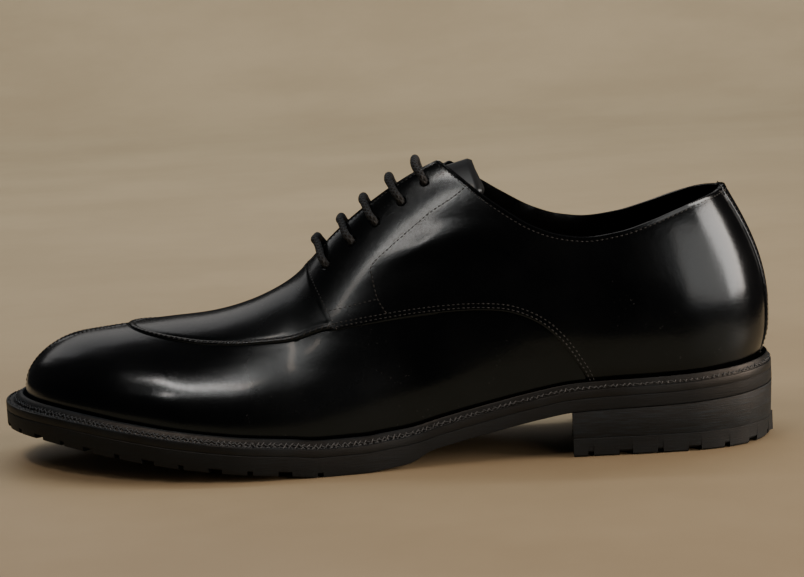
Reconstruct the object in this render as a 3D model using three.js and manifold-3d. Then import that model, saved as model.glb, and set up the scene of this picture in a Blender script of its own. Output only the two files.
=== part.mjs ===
import * as THREE from 'three';
import { mergeVertices } from 'three/addons/utils/BufferGeometryUtils.js';
import Module from 'manifold-3d';

const wasm = await Module();
wasm.setup();

// A left derby shoe with a raised apron seam, a storm welt, a lugged sole and a stacked heel.
// The toe points along -X, the outer side lies along -Y and +Z is up. Lengths are in millimetres.

// Sole sizes
const soleLength = 308;
const ballWidth = 105;
const outsoleThickness = 8;
const toeSpring = 14.5;
const heelHeight = 17.8;
const topPieceThickness = 7.6;
const heelLength = 79;
const heelTaper = 1.2;
const soleBevel = 0.8;
const weltThickness = 3;
const weltWidth = 7;
const stormRidgeHeight = 2.8;
const stormRidgeWidth = 2;
const insoleThickness = 3.5;

// Lug sizes. A lead is the way along the edge to the first notch, from the arch or from the back of the heel.
const lugPitch = 13.4;
const narrowNotch = 2.2;
const wideNotch = 5.2;
const notchDepth = 1.6;
const notchReach = 9;
const forefootLead = 22.2;
const heelLead = 11;

// Upper sizes
const instepHeight = 115;
const wallThickness = 1.8;
const quarterStep = 1.2;
const plugStep = 0.4;
const apronSeamRise = 1.1;
const apronSeamWidth = 2.4;
const toeSeamRise = 0.4;
const toeSeamWidth = 2;
const backStripRise = 0.7;
const backStripWidth = 16;
const throatGap = 15.5;

// Tongue and lace sizes. Slant is how far the tongue's end edge runs back at its sides, and sag how far a
// lace bar drops between the facings.
const tongueThickness = 2.2;
const tongueWidth = 40;
const tongueSlant = 5.5;
const eyeletReach = 21.5;
const eyeletDiameter = 4.6;
const laceDiameter = 3;
const laceDip = 2.4;
const laceSag = 1.3;

// Clearance between pieces that meet along a curve
const fit = 0.3;

// Sole outline. Along is a share of soleLength from the heel; middle and half are shares of ballWidth.
const OUTLINE = [
  { along: 0, middle: 0, half: 0 },
  { along: 0.016, middle: 0, half: 0.165 },
  { along: 0.05, middle: 0, half: 0.265 },
  { along: 0.11, middle: 0, half: 0.32 },
  { along: 0.2, middle: 0, half: 0.338 },
  { along: 0.28, middle: -0.012, half: 0.334 },
  { along: 0.36, middle: -0.04, half: 0.325 },
  { along: 0.44, middle: -0.062, half: 0.335 },
  { along: 0.52, middle: -0.07, half: 0.38 },
  { along: 0.6, middle: -0.052, half: 0.442 },
  { along: 0.68, middle: -0.022, half: 0.488 },
  { along: 0.75, middle: 0.012, half: 0.5 },
  { along: 0.82, middle: 0.04, half: 0.468 },
  { along: 0.89, middle: 0.062, half: 0.387 },
  { along: 0.945, middle: 0.08, half: 0.285 },
  { along: 0.985, middle: 0.1, half: 0.155 },
  { along: 1, middle: 0.114, half: 0 },
];

// Side profile of the sole. Spring is a share of toeSpring, rise of heelHeight, body of
// outsoleThickness and welt of weltWidth.
const SOLE = [
  { along: 0, spring: 0, rise: 1.2, body: 0.66, welt: 0.65 },
  { along: 0.107, spring: 0, rise: 1.08, body: 0.66, welt: 0.57 },
  { along: 0.253, spring: 0, rise: 1, body: 0.66, welt: 0.57 },
  { along: 0.296, spring: 0, rise: 0.885, body: 0.66, welt: 0.59 },
  { along: 0.351, spring: 0, rise: 0.69, body: 0.66, welt: 0.62 },
  { along: 0.406, spring: 0, rise: 0.48, body: 0.66, welt: 0.7 },
  { along: 0.432, spring: 0, rise: 0.37, body: 0.66, welt: 0.75 },
  { along: 0.462, spring: 0, rise: 0.115, body: 0.95, welt: 0.8 },
  { along: 0.49, spring: 0, rise: 0.045, body: 1, welt: 0.84 },
  { along: 0.515, spring: 0, rise: 0, body: 1, welt: 0.86 },
  { along: 0.575, spring: 0, rise: 0, body: 1, welt: 0.9 },
  { along: 0.6, spring: 0.07, rise: 0, body: 1, welt: 0.92 },
  { along: 0.66, spring: 0.18, rise: 0, body: 1, welt: 0.95 },
  { along: 0.72, spring: 0.32, rise: 0, body: 1, welt: 1 },
  { along: 0.8, spring: 0.55, rise: 0, body: 1, welt: 1.05 },
  { along: 0.88, spring: 0.79, rise: 0, body: 0.97, welt: 1.12 },
  { along: 0.94, spring: 0.94, rise: 0, body: 0.9, welt: 1.2 },
  { along: 1, spring: 1, rise: 0, body: 0.87, welt: 1.32 },
];

// Crest line of the last. Height is a share of instepHeight and drift of ballWidth, toward the inner side.
// Behind the collar the crest is a construction line that the collar cut removes.
const CREST = [
  { along: 0.08, height: 1.113, drift: 0 },
  { along: 0.2, height: 1.113, drift: 0 },
  { along: 0.3, height: 1.1, drift: 0 },
  { along: 0.345, height: 1.078, drift: 0 },
  { along: 0.38, height: 1.048, drift: 0.005 },
  { along: 0.42, height: 1.008, drift: 0.01 },
  { along: 0.445, height: 0.976, drift: 0.015 },
  { along: 0.478, height: 0.92, drift: 0.022 },
  { along: 0.516, height: 0.842, drift: 0.032 },
  { along: 0.55, height: 0.762, drift: 0.043 },
  { along: 0.565, height: 0.724, drift: 0.048 },
  { along: 0.584, height: 0.652, drift: 0.054 },
  { along: 0.6, height: 0.609, drift: 0.058 },
  { along: 0.627, height: 0.566, drift: 0.064 },
  { along: 0.661, height: 0.525, drift: 0.07 },
  { along: 0.695, height: 0.498, drift: 0.074 },
  { along: 0.73, height: 0.481, drift: 0.077 },
  { along: 0.763, height: 0.474, drift: 0.08 },
  { along: 0.81, height: 0.463, drift: 0.084 },
  { along: 0.87, height: 0.445, drift: 0.09 },
];

// Ribs of the last, from the feather line up to the crest. Top is the crest's share of soleLength that
// the rib climbs to, bulge a share of ballWidth, low and drop shares of the rib's height, and shoulder a
// share of the way from the crest back out to the feather line.
const RIBS = [
  { along: 0, top: 0.1, bulge: 0.085, low: 0.52, shoulder: 0.5, drop: 0.395 },
  { along: 0.03, top: 0.112, bulge: 0.082, low: 0.47, shoulder: 0.66, drop: 0.34 },
  { along: 0.1, top: 0.14, bulge: 0.075, low: 0.33, shoulder: 0.93, drop: 0.22 },
  { along: 0.2, top: 0.21, bulge: 0.06, low: 0.36, shoulder: 0.98, drop: 0.15 },
  { along: 0.3, top: 0.3, bulge: 0.055, low: 0.4, shoulder: 0.9, drop: 0.08 },
  { along: 0.37, top: 0.37, bulge: 0.055, low: 0.42, shoulder: 0.68, drop: 0.02 },
  { along: 0.43, top: 0.43, bulge: 0.055, low: 0.43, shoulder: 0.48, drop: 0 },
  { along: 0.5, top: 0.5, bulge: 0.05, low: 0.44, shoulder: 0.42, drop: 0 },
  { along: 0.56, top: 0.56, bulge: 0.045, low: 0.45, shoulder: 0.42, drop: 0 },
  { along: 0.62, top: 0.62, bulge: 0.042, low: 0.5, shoulder: 0.46, drop: 0 },
  { along: 0.7, top: 0.7, bulge: 0.038, low: 0.55, shoulder: 0.52, drop: 0 },
  { along: 0.8, top: 0.78, bulge: 0.034, low: 0.58, shoulder: 0.56, drop: 0 },
  { along: 0.9, top: 0.84, bulge: 0.028, low: 0.58, shoulder: 0.6, drop: 0 },
  { along: 1, top: 0.87, bulge: 0.024, low: 0.57, shoulder: 0.63, drop: 0 },
];

// Top line of the collar. Height is a share of instepHeight.
const COLLAR = [
  { along: -0.05, height: 0.877 },
  { along: 0.048, height: 0.874 },
  { along: 0.056, height: 0.858 },
  { along: 0.086, height: 0.836 },
  { along: 0.113, height: 0.812 },
  { along: 0.151, height: 0.777 },
  { along: 0.188, height: 0.75 },
  { along: 0.228, height: 0.738 },
  { along: 0.262, height: 0.75 },
  { along: 0.295, height: 0.782 },
  { along: 0.333, height: 0.845 },
  { along: 0.36, height: 0.897 },
  { along: 0.38, height: 0.939 },
  { along: 0.398, height: 0.974 },
  { along: 0.412, height: 0.996 },
  { along: 0.424, height: 1.008 },
  { along: 0.434, height: 1.03 },
  { along: 0.44, height: 1.1 },
];

// Front and lower edge of the quarter, seen from the side. Height is a share of instepHeight.
const QUARTER = [
  { along: 0.566, height: 1.3 },
  { along: 0.569, height: 0.75 },
  { along: 0.579, height: 0.705 },
  { along: 0.586, height: 0.66 },
  { along: 0.583, height: 0.62 },
  { along: 0.566, height: 0.543 },
  { along: 0.55, height: 0.466 },
  { along: 0.512, height: 0.481 },
  { along: 0.46, height: 0.498 },
  { along: 0.41, height: 0.51 },
  { along: 0.364, height: 0.513 },
  { along: 0.326, height: 0.501 },
  { along: 0.29, height: 0.456 },
  { along: 0.266, height: 0.392 },
  { along: 0.25, height: 0.328 },
  { along: 0.238, height: 0.268 },
  { along: 0.23, height: 0 },
];

// Half outlines of the plug inside the apron seam, seen from above, as shares of ballWidth either side
// of the crest line.
const PLUG = [
  { along: 0.547, outer: 0.356, inner: 0.222 },
  { along: 0.6, outer: 0.352, inner: 0.23 },
  { along: 0.66, outer: 0.335, inner: 0.234 },
  { along: 0.71, outer: 0.3, inner: 0.226 },
  { along: 0.76, outer: 0.245, inner: 0.198 },
  { along: 0.79, outer: 0.19, inner: 0.16 },
  { along: 0.812, outer: 0.125, inner: 0.108 },
  { along: 0.825, outer: 0.06, inner: 0.053 },
  { along: 0.829, outer: 0, inner: 0 },
];

// Tongue sections. Width is a share of tongueWidth and sag, the depth under the wall, of instepHeight.
const TONGUE = [
  { along: 0.378, width: 0.95, sag: 0.043 },
  { along: 0.4, width: 0.96, sag: 0.038 },
  { along: 0.44, width: 1, sag: 0.024 },
  { along: 0.5, width: 0.99, sag: 0.016 },
  { along: 0.55, width: 0.93, sag: 0.014 },
  { along: 0.57, width: 0.86, sag: 0.01 },
  { along: 0.585, width: 0.8, sag: 0.005 },
  { along: 0.61, width: 0.7, sag: 0.002 },
];

// Eyelets on each side, and the lace bar between them. Out is a share of eyeletReach from the crest line,
// bow how far the bar leans to the toe and lift how far it stands up, both shares of laceDiameter.
const EYELETS = [
  { along: 0.556, out: 1, bow: 0.9, lift: 0.6 },
  { along: 0.522, out: 0.97, bow: 1.5, lift: 0 },
  { along: 0.491, out: 0.93, bow: 1.6, lift: 0 },
  { along: 0.457, out: 0.86, bow: 1.6, lift: 0 },
  { along: 0.427, out: 0.73, bow: 1.2, lift: 0 },
];

// Ends of the slit between the facings, and the place where the crest starts to lead the vamp's slope
const throatFront = 0.589;
const throatBack = 0.38;
const vampStart = 0.6;

// Spacing of the faces
const OUTER = -1;
const INNER = 1;
const STATIONS = 44;
const HEEL_STATIONS = 14;
const COLLAR_STEPS = 36;
const PLUG_STEPS = 24;
const TIP_STEPS = 6;
const TONGUE_STEPS = 12;
const TONGUE_STRIPS = 8;
const LACE_STEPS = 12;
const LACE_SIDES = 8;
const EYELET_SIDES = 8;
const WALK_STEPS = 600;
const HALVINGS = 24;
const CLIMBS = [0, 0.05, 0.12, 0.2, 0.29, 0.38, 0.47, 0.56, 0.65, 0.74, 0.83, 0.91, 1];
const COARSE_CLIMBS = [0, 0.12, 0.25, 0.4, 0.55, 0.7, 0.85, 1];
const THROAT = [0.572, 0.585, 0.6, 0.615];
const FEATHERING = 0.12;
const NEAR_CREST = 0.97;
const SAMPLE = 1e-3;

// Overhang past the ends of the shoe and above it, for the outlines that cut it
const BEHIND = -0.1;
const AHEAD = 1.1;
const ABOVE = 1.3;

// A smooth curve through a table's rows that never swings past them
function curveOf(rows, column) {
  const xs = rows.map((row) => row.along);
  const ys = rows.map((row) => row[column]);
  const steps = xs.slice(1).map((x, i) => x - xs[i]);
  const rates = steps.map((step, i) => (ys[i + 1] - ys[i]) / step);
  const slopes = ys.map((y, i) => {
    if (i === 0) return rates[0];
    if (i === rates.length) return rates[i - 1];
    const [before, after] = [rates[i - 1], rates[i]];
    if (before * after <= 0) return 0;
    const [left, right] = [2 * steps[i] + steps[i - 1], steps[i] + 2 * steps[i - 1]];
    return (left + right) / (left / before + right / after);
  });
  return (at) => {
    const x = THREE.MathUtils.clamp(at, xs[0], xs[xs.length - 1]);
    const next = xs.findIndex((edge, i) => i > 0 && x <= edge);
    const i = next - 1;
    const t = (x - xs[i]) / steps[i];
    const [t2, t3] = [t * t, t * t * t];
    const rise = (t3 - 2 * t2 + t) * slopes[i] + (t3 - t2) * slopes[i + 1];
    return (2 * t3 - 3 * t2 + 1) * ys[i] + (3 * t2 - 2 * t3) * ys[next] + rise * steps[i];
  };
}

// The outline is smooth in the angle around it, so its table is read by that angle
const angleOf = (along) => Math.acos(1 - 2 * along) / Math.PI;
const alongOf = (turn) => (1 - Math.cos(turn * Math.PI)) / 2;
const byTurn = OUTLINE.map((row) => ({ ...row, along: angleOf(row.along) }));
const outlineMiddle = curveOf(byTurn, 'middle');
const outlineHalf = curveOf(byTurn, 'half');
const curvesOf = (rows, names) => Object.fromEntries(names.map((name) => [name, curveOf(rows, name)]));
const soleCurves = curvesOf(SOLE, ['spring', 'rise', 'body', 'welt']);
const crestHeight = curveOf(CREST, 'height');
const crestDrift = curveOf(CREST, 'drift');
const ribCurves = curvesOf(RIBS, ['top', 'bulge', 'low', 'shoulder', 'drop']);
const collarHeight = curveOf(COLLAR, 'height');

const xAt = (along) => soleLength * (0.5 - along);
const alongAt = (x) => 0.5 - x / soleLength;
const treadHeight = (along) => toeSpring * soleCurves.spring(along) + heelHeight * soleCurves.rise(along);
const outsoleTop = (along) => treadHeight(along) + outsoleThickness * soleCurves.body(along);
const weltReach = (along) => weltWidth * soleCurves.welt(along);

// A point of the sole outline at a turn from heel (0) to toe (1), moved inwards by an inset
function outlinePoint(turn, side, inset = 0) {
  const at = (share) => new THREE.Vector2(
    xAt(alongOf(share)),
    ballWidth * (outlineMiddle(share) + side * outlineHalf(share)),
  );
  const ahead = at(Math.min(turn + SAMPLE, 1));
  const behind = at(Math.max(turn - SAMPLE, 0));
  const along = ahead.sub(behind).normalize();
  const out = new THREE.Vector2(side * along.y, -side * along.x);
  if (turn === 0 || turn === 1) out.set(1 - 2 * turn, 0);
  return at(turn).addScaledVector(out, -inset);
}

// Solid from a three.js geometry, with its shared corners merged
function solidOf(geometry) {
  geometry.deleteAttribute('normal');
  geometry.deleteAttribute('uv');
  const merged = mergeVertices(geometry);
  const index = merged.index.array;
  const corners = [];
  for (let i = 0; i < index.length; i += 3) {
    const [a, b, c] = [index[i], index[i + 1], index[i + 2]];
    if (a !== b && b !== c && c !== a) corners.push(a, b, c);
  }
  const mesh = new wasm.Mesh({
    numProp: 3,
    vertProperties: new Float32Array(merged.attributes.position.array),
    triVerts: new Uint32Array(corners),
  });
  return new wasm.Manifold(mesh);
}

// Mesh of a solid, ready to show
function meshOf(name, solid, material) {
  const { vertProperties, triVerts } = solid.getMesh();
  const geometry = new THREE.BufferGeometry();
  geometry.setAttribute('position', new THREE.BufferAttribute(new Float32Array(vertProperties), 3));
  geometry.setIndex(new THREE.BufferAttribute(new Uint32Array(triVerts), 1));
  geometry.computeVertexNormals();
  const mesh = new THREE.Mesh(geometry, material);
  mesh.name = name;
  return mesh;
}

// Solid lofted through closed rings of points; wrap joins the last ring to the first
function loft(rings, wrap = false) {
  const count = rings[0].length;
  const corners = rings.flat().flatMap((point) => [point.x, point.y, point.z]);
  const index = [];
  const spans = wrap ? rings.length : rings.length - 1;
  for (let i = 0; i < spans; i += 1) {
    for (let j = 0; j < count; j += 1) {
      const [here, next] = [i * count, ((i + 1) % rings.length) * count];
      const k = (j + 1) % count;
      index.push(here + j, here + k, next + j, next + j, here + k, next + k);
    }
  }
  if (!wrap) {
    const last = (rings.length - 1) * count;
    for (let j = 1; j < count - 1; j += 1) {
      index.push(0, j + 1, j, last, last + j, last + j + 1);
    }
  }
  const geometry = new THREE.BufferGeometry();
  geometry.setAttribute('position', new THREE.Float32BufferAttribute(corners, 3));
  geometry.setIndex(index);
  return solidOf(geometry);
}

// Straight-sided solid from an outline of [across, up] pairs, drawn on a named plane
function prism(outline, depth, plane) {
  const shape = new THREE.Shape(outline.map(([a, b]) => new THREE.Vector2(a, b)));
  const geometry = new THREE.ExtrudeGeometry(shape, { depth, bevelEnabled: false, steps: 1 });
  if (plane === 'side') {
    geometry.rotateX(Math.PI / 2);
    geometry.translate(0, depth / 2, 0);
  }
  return solidOf(geometry);
}

const share = (count) => Array.from({ length: count + 1 }, (_, i) => i / count);

// Slab inside the sole outline, with a ring at each turn. Its side runs through pairs of inset and level,
// from floor to roof.
function slab(stations, side) {
  const rings = stations.map((turn) => {
    const corners = (face) => side.map(({ inset, level }) => {
      const point = outlinePoint(turn, face, inset(alongOf(turn)));
      return new THREE.Vector3(point.x, point.y, level(alongAt(point.x)));
    });
    return [...corners(OUTER), ...corners(INNER).reverse()];
  });
  return loft(rings);
}

// One point of the last's surface: a rib climbs from the feather line (0) to the crest (1)
function lastPoint(turn, side, climb) {
  const along = alongOf(turn);
  const foot = outlinePoint(turn, side, weltReach(along));
  const start = new THREE.Vector3(foot.x, foot.y, outsoleTop(alongAt(foot.x)) + fit);
  const top = ribCurves.top(along);
  const end = new THREE.Vector3(xAt(top), ballWidth * crestDrift(top), instepHeight * crestHeight(top));
  const height = end.z - start.z;
  const belly = outlinePoint(turn, side, weltReach(along) - ballWidth * ribCurves.bulge(along));
  const low = new THREE.Vector3(belly.x, belly.y, start.z + height * ribCurves.low(along));
  const high = end.clone().lerp(start, ribCurves.shoulder(along));
  const slope = (crestHeight(top + SAMPLE) - crestHeight(top - SAMPLE)) / (2 * SAMPLE);
  const followed = top > vampStart ? slope * (alongAt(high.x) - top) : 0;
  high.z = end.z + instepHeight * followed - height * ribCurves.drop(along);
  return new THREE.CubicBezierCurve3(start, low, high, end).getPoint(climb);
}

// Outward direction of the last's surface, read just beside the crest, where the ribs come together
function lastNormal(turn, side, height) {
  const climb = Math.min(height, NEAR_CREST);
  const ahead = lastPoint(Math.min(turn + SAMPLE, 1), side, climb);
  const behind = lastPoint(Math.max(turn - SAMPLE, 0), side, climb);
  const over = lastPoint(turn, side, Math.min(climb + SAMPLE, 1));
  const under = lastPoint(turn, side, Math.max(climb - SAMPLE, 0));
  const normal = ahead.sub(behind).cross(over.sub(under)).multiplyScalar(side);
  return normal.normalize();
}

// Point that stands off the last by an offset. The two sides share one direction where they meet, and
// what is laid on the outside thins out and sinks in at the feather line.
function shellPoint(turn, side, climb, offset) {
  const normal = lastNormal(turn, side, climb);
  if (climb === 1 || turn === 0 || turn === 1) normal.add(lastNormal(turn, -side, climb)).normalize();
  const laid = offset > 0 ? THREE.MathUtils.smoothstep(climb, 0, FEATHERING) : 1;
  const distance = THREE.MathUtils.lerp(-wallThickness / 3, offset, laid);
  return lastPoint(turn, side, climb).addScaledVector(normal, distance);
}

// The climb at which a measure of the surface, which grows with the climb, reaches a value
function climbWhere(measure, value) {
  let [below, above] = [0, 1];
  for (let i = 0; i < HALVINGS; i += 1) {
    const middle = (below + above) / 2;
    if (measure(middle) < value) below = middle;
    else above = middle;
  }
  return (below + above) / 2;
}

// The climb at a straight distance from the crest line
function climbBeside(turn, side, distance) {
  const crest = lastPoint(turn, side, 1);
  return climbWhere((climb) => -lastPoint(turn, side, climb).distanceTo(crest), -distance);
}

const evenTurns = share(STATIONS);
const turns = evenTurns.concat(THROAT.map(angleOf)).sort((a, b) => a - b);
const coarseTurns = share(STATIONS / 2).concat(THROAT.map(angleOf)).sort((a, b) => a - b);

// Body with the form of the last, grown by an offset
function shell(offset, stations = turns, climbs = CLIMBS, skirt = 0) {
  const rings = stations.map((turn) => {
    const rib = (side) => climbs.map((climb) => shellPoint(turn, side, climb, offset));
    const [outer, inner] = [rib(OUTER), rib(INNER)];
    const hang = (point) => [point.clone().setZ(point.z - skirt)];
    const ends = skirt > 0 ? [hang(outer[0]), hang(inner[0])] : [[], []];
    return [...ends[0], ...outer, ...inner.slice(0, -1).reverse(), ...ends[1]];
  });
  return loft(rings);
}

// Pieces of the bottom
const level = (height) => () => height;
const bevelled = () => soleBevel;
const flush = () => 0;

// Cuts in the edge of a tread, narrow and wide by turns, a fixed pitch apart along the outline
function notches({ from, to, lead, floor }, side) {
  const cuts = [];
  const walk = share(WALK_STEPS).map((step) => outlinePoint(from + (to - from) * step, side));
  let travelled = lugPitch - lead;
  for (let i = 1; i < walk.length; i += 1) {
    travelled += walk[i].distanceTo(walk[i - 1]);
    if (travelled >= lugPitch) {
      travelled -= lugPitch;
      const width = cuts.length % 2 ? wideNotch : narrowNotch;
      const heading = walk[i].clone().sub(walk[i - 1]).angle();
      const box = new THREE.BoxGeometry(width, 2 * notchReach, 2 * notchDepth);
      box.rotateZ(heading);
      box.translate(walk[i].x, walk[i].y, floor(alongAt(walk[i].x)));
      cuts.push(solidOf(box));
    }
  }
  return cuts;
}

const notched = (piece, edge) => [OUTER, INNER]
  .flatMap((side) => notches(edge, side))
  .reduce((left, cut) => left.subtract(cut), piece);

const heelTurn = angleOf(heelLength / soleLength);
const treadTurn = angleOf(0.5);

const outsole = notched(
  slab(evenTurns, [
    { inset: bevelled, level: treadHeight },
    { inset: flush, level: (along) => treadHeight(along) + soleBevel },
    { inset: flush, level: outsoleTop },
  ]),
  { from: treadTurn, to: 1, lead: forefootLead, floor: treadHeight },
);

const heelTurns = share(HEEL_STATIONS).map((step) => heelTurn * step);
const taperAtTopPiece = () => heelTaper * (1 - topPieceThickness / heelHeight);

const heelBlock = slab(heelTurns, [
  { inset: taperAtTopPiece, level: level(topPieceThickness) },
  { inset: flush, level: (along) => treadHeight(along) - fit },
]);

const topPiece = notched(
  slab(heelTurns, [
    { inset: () => heelTaper + soleBevel, level: level(0) },
    { inset: () => heelTaper, level: level(soleBevel) },
    { inset: taperAtTopPiece, level: level(topPieceThickness) },
  ]),
  { from: 0, to: heelTurn, lead: heelLead, floor: level(0) },
);

const insideWall = (along) => weltReach(along) + wallThickness + 2 * fit;
const insole = slab(evenTurns, [
  { inset: insideWall, level: (along) => outsoleTop(along) + fit },
  { inset: insideWall, level: (along) => outsoleTop(along) + fit + insoleThickness },
]);

// Welt: a strip round the whole sole, with a ridge that stands against the upper
function weltRing(turn, side) {
  const reach = weltReach(alongOf(turn));
  const foot = lastPoint(turn, side, 0);
  const ridgeTop = weltThickness + stormRidgeHeight;
  const heaviest = quarterStep + backStripRise;
  const climb = climbWhere((t) => shellPoint(turn, side, t, heaviest).z, foot.z + ridgeTop);
  const wall = shellPoint(turn, side, climb, heaviest);
  const lean = Math.hypot(wall.x - foot.x, wall.y - foot.y);
  const ridge = reach - lean - fit;
  const slope = Math.min(stormRidgeWidth, ridge / 3);
  const corners = [
    [0, 0],
    [0, weltThickness],
    [ridge - 2 * slope, weltThickness],
    [ridge - slope, ridgeTop],
    [ridge, ridgeTop],
    [reach - fit, 0],
  ];
  return corners.map(([inset, rise]) => {
    const point = outlinePoint(turn, side, inset);
    return new THREE.Vector3(point.x, point.y, outsoleTop(alongAt(point.x)) + fit + rise);
  });
}

const welt = loft(
  [
    ...evenTurns.map((turn) => weltRing(turn, OUTER)),
    ...evenTurns.slice(1, -1).reverse().map((turn) => weltRing(turn, INNER)),
  ],
  true,
);

// Outlines that cut the upper
const fromTable = (rows, column, size) => rows.map((row) => [xAt(row.along), size * row[column]]);

const quarterPrism = prism(
  [...fromTable(QUARTER, 'height', instepHeight), [xAt(BEHIND), 0], [xAt(BEHIND), ABOVE * instepHeight]],
  2 * ballWidth,
  'side',
);

const [collarBack, collarFront] = [COLLAR[0].along, COLLAR.at(-1).along];
const collarStations = share(COLLAR_STEPS).map((step) => THREE.MathUtils.lerp(collarBack, collarFront, step));
const collarPrism = prism(
  [
    ...collarStations.map((along) => [xAt(along), instepHeight * collarHeight(along)]),
    [xAt(collarFront), ABOVE * instepHeight],
    [xAt(collarBack), ABOVE * instepHeight],
  ],
  2 * ballWidth,
  'side',
);

// Plan outline at a distance either side of the crest line, closed round its front end
function planAlongCrest(stations, reach) {
  const edge = (side) => stations.map((along) => [
    xAt(along),
    ballWidth * crestDrift(along) + side * reach(along, side),
  ]);
  return prism([...edge(OUTER), ...edge(INNER).reverse()], 2 * instepHeight, 'plan');
}

const [plugBack, plugFront] = [PLUG[0].along, PLUG.at(-1).along];
const plugByTurn = PLUG.map((row) => ({ ...row, along: angleOf(row.along / plugFront) }));
const plugHalf = curvesOf(plugByTurn, ['outer', 'inner']);

// Plan of the plug, drawn in by an inset
function plugPrism(inset) {
  const reach = plugFront - inset / soleLength;
  const first = angleOf(plugBack / plugFront);
  const stations = share(PLUG_STEPS).map((step) => reach * alongOf(first + (1 - first) * step));
  return planAlongCrest(stations, (along, side) => {
    const turn = angleOf(Math.min(along / reach, 1));
    const half = side === OUTER ? plugHalf.outer : plugHalf.inner;
    return half(turn) * (ballWidth - inset / PLUG[0].outer);
  });
}

const plugPlan = plugPrism(0);
const seamPlan = plugPlan.subtract(plugPrism(apronSeamWidth));

// Slit between the facings, with a round front end
const slitTip = throatGap / (2 * soleLength);
const quarterTurns = share(TIP_STEPS).map((step) => Math.sin((step * Math.PI) / 2));
const slit = planAlongCrest(
  [throatBack, ...quarterTurns.map((part) => throatFront - slitTip * (1 - part))],
  (along) => {
    const past = Math.max(along - throatFront + slitTip, 0) / slitTip;
    return (throatGap / 2) * Math.sqrt(Math.max(1 - past * past, 0));
  },
);

// Strip over the heel seam and the closed seam down the middle of the toe
const band = (width, front, back, middle) => {
  const box = new THREE.BoxGeometry(back - front, width, 4 * instepHeight);
  box.translate((front + back) / 2, middle, 0);
  return solidOf(box);
};
const toeSeamBack = xAt(plugFront) + apronSeamWidth / 2;
const toeSeamBand = band(toeSeamWidth, xAt(AHEAD), toeSeamBack, ballWidth * crestDrift(plugFront));

// Eyelets, cut square through the wall
const cutThrough = 4 * (wallThickness + quarterStep);
const eyeletCuts = EYELETS.flatMap((row) => [OUTER, INNER].map((side) => {
  const turn = angleOf(row.along);
  const climb = climbBeside(turn, side, eyeletReach * row.out);
  const place = lastPoint(turn, side, climb);
  const hole = new THREE.CylinderGeometry(eyeletDiameter / 2, eyeletDiameter / 2, cutThrough, EYELET_SIDES);
  const upright = new THREE.Vector3(0, 1, 0);
  hole.applyQuaternion(new THREE.Quaternion().setFromUnitVectors(upright, lastNormal(turn, side, climb)));
  hole.translate(place.x, place.y, place.z);
  return solidOf(hole);
}));

// Upper: the last's form with its laid-on pieces, hollowed and cut open
const formed = [
  shell(quarterStep).intersect(quarterPrism),
  shell(plugStep).intersect(plugPlan),
  shell(apronSeamRise).intersect(seamPlan),
  shell(toeSeamRise).intersect(toeSeamBand),
  shell(quarterStep + backStripRise).intersect(band(backStripWidth, xAt(-BEHIND), xAt(BEHIND), 0)),
].reduce((whole, piece) => whole.add(piece), shell(0));
const hollow = shell(-wallThickness, coarseTurns, COARSE_CLIMBS, instepHeight / 4);
const opened = [hollow, collarPrism, slit, ...eyeletCuts]
  .reduce((left, cut) => left.subtract(cut), formed);
const upper = opened.decompose().reduce((best, piece) => (piece.volume() > best.volume() ? piece : best));

// Tongue: a curved sheet that follows the inside of the last, under the facings
const tongueHalf = curveOf(TONGUE, 'width');
const tongueSag = curveOf(TONGUE, 'sag');
const [tongueBack, tongueFront] = [TONGUE[0].along, TONGUE.at(-1).along];
const tongue = loft(share(TONGUE_STEPS).map((step) => {
  const along = THREE.MathUtils.lerp(tongueBack, tongueFront, step);
  const depth = wallThickness + fit + instepHeight * tongueSag(along);
  const across = share(TONGUE_STRIPS).map((part) => 2 * part - 1);
  const sheet = (sink) => across.map((part) => {
    const side = part < 0 ? OUTER : INNER;
    const turn = angleOf(along - (1 - step) * Math.abs(part) * (tongueSlant / soleLength));
    const reach = Math.abs(part) * tongueHalf(along) * (tongueWidth / 2);
    const middle = shellPoint(turn, side, 1, -sink);
    const inside = (climb) => -shellPoint(turn, side, climb, -sink).distanceTo(middle);
    return shellPoint(turn, side, part === 0 ? 1 : climbWhere(inside, -reach), -sink);
  });
  return [...sheet(depth), ...sheet(depth + tongueThickness).reverse()];
}));

// Lace bars: each rises out of one eyelet, lies over both facings and dips into the other eyelet. Stops
// are the reach from the crest line, the offset from the last and the share of the bow.
function laceBar(row) {
  const eyelet = eyeletReach * row.out;
  const over = quarterStep + laceDiameter / 2 + fit;
  const lifted = over + laceDiameter * row.lift;
  const bend = laceDiameter / 6;
  const stops = [
    [eyelet, quarterStep - laceDip, 0],
    [eyelet, quarterStep, 0],
    [eyelet - bend, over - 2 * bend, 0.1],
    [eyelet - 4 * bend, over, 0.3],
    [throatGap / 2, lifted, 0.8],
    [throatGap / 6, lifted - laceSag, 1],
  ];
  const half = (side) => stops.map(([reach, offset, bowed]) => {
    const turn = angleOf(row.along + (bowed * row.bow * laceDiameter) / soleLength);
    return shellPoint(turn, side, climbBeside(turn, side, reach), offset);
  });
  const path = new THREE.CatmullRomCurve3([...half(OUTER), ...half(INNER).reverse()]);
  const section = new THREE.Shape().absarc(0, 0, laceDiameter / 2, 0, 2 * Math.PI);
  const sweep = { steps: LACE_STEPS, curveSegments: LACE_SIDES / 2, extrudePath: path };
  return solidOf(new THREE.ExtrudeGeometry(section, sweep));
}

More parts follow.
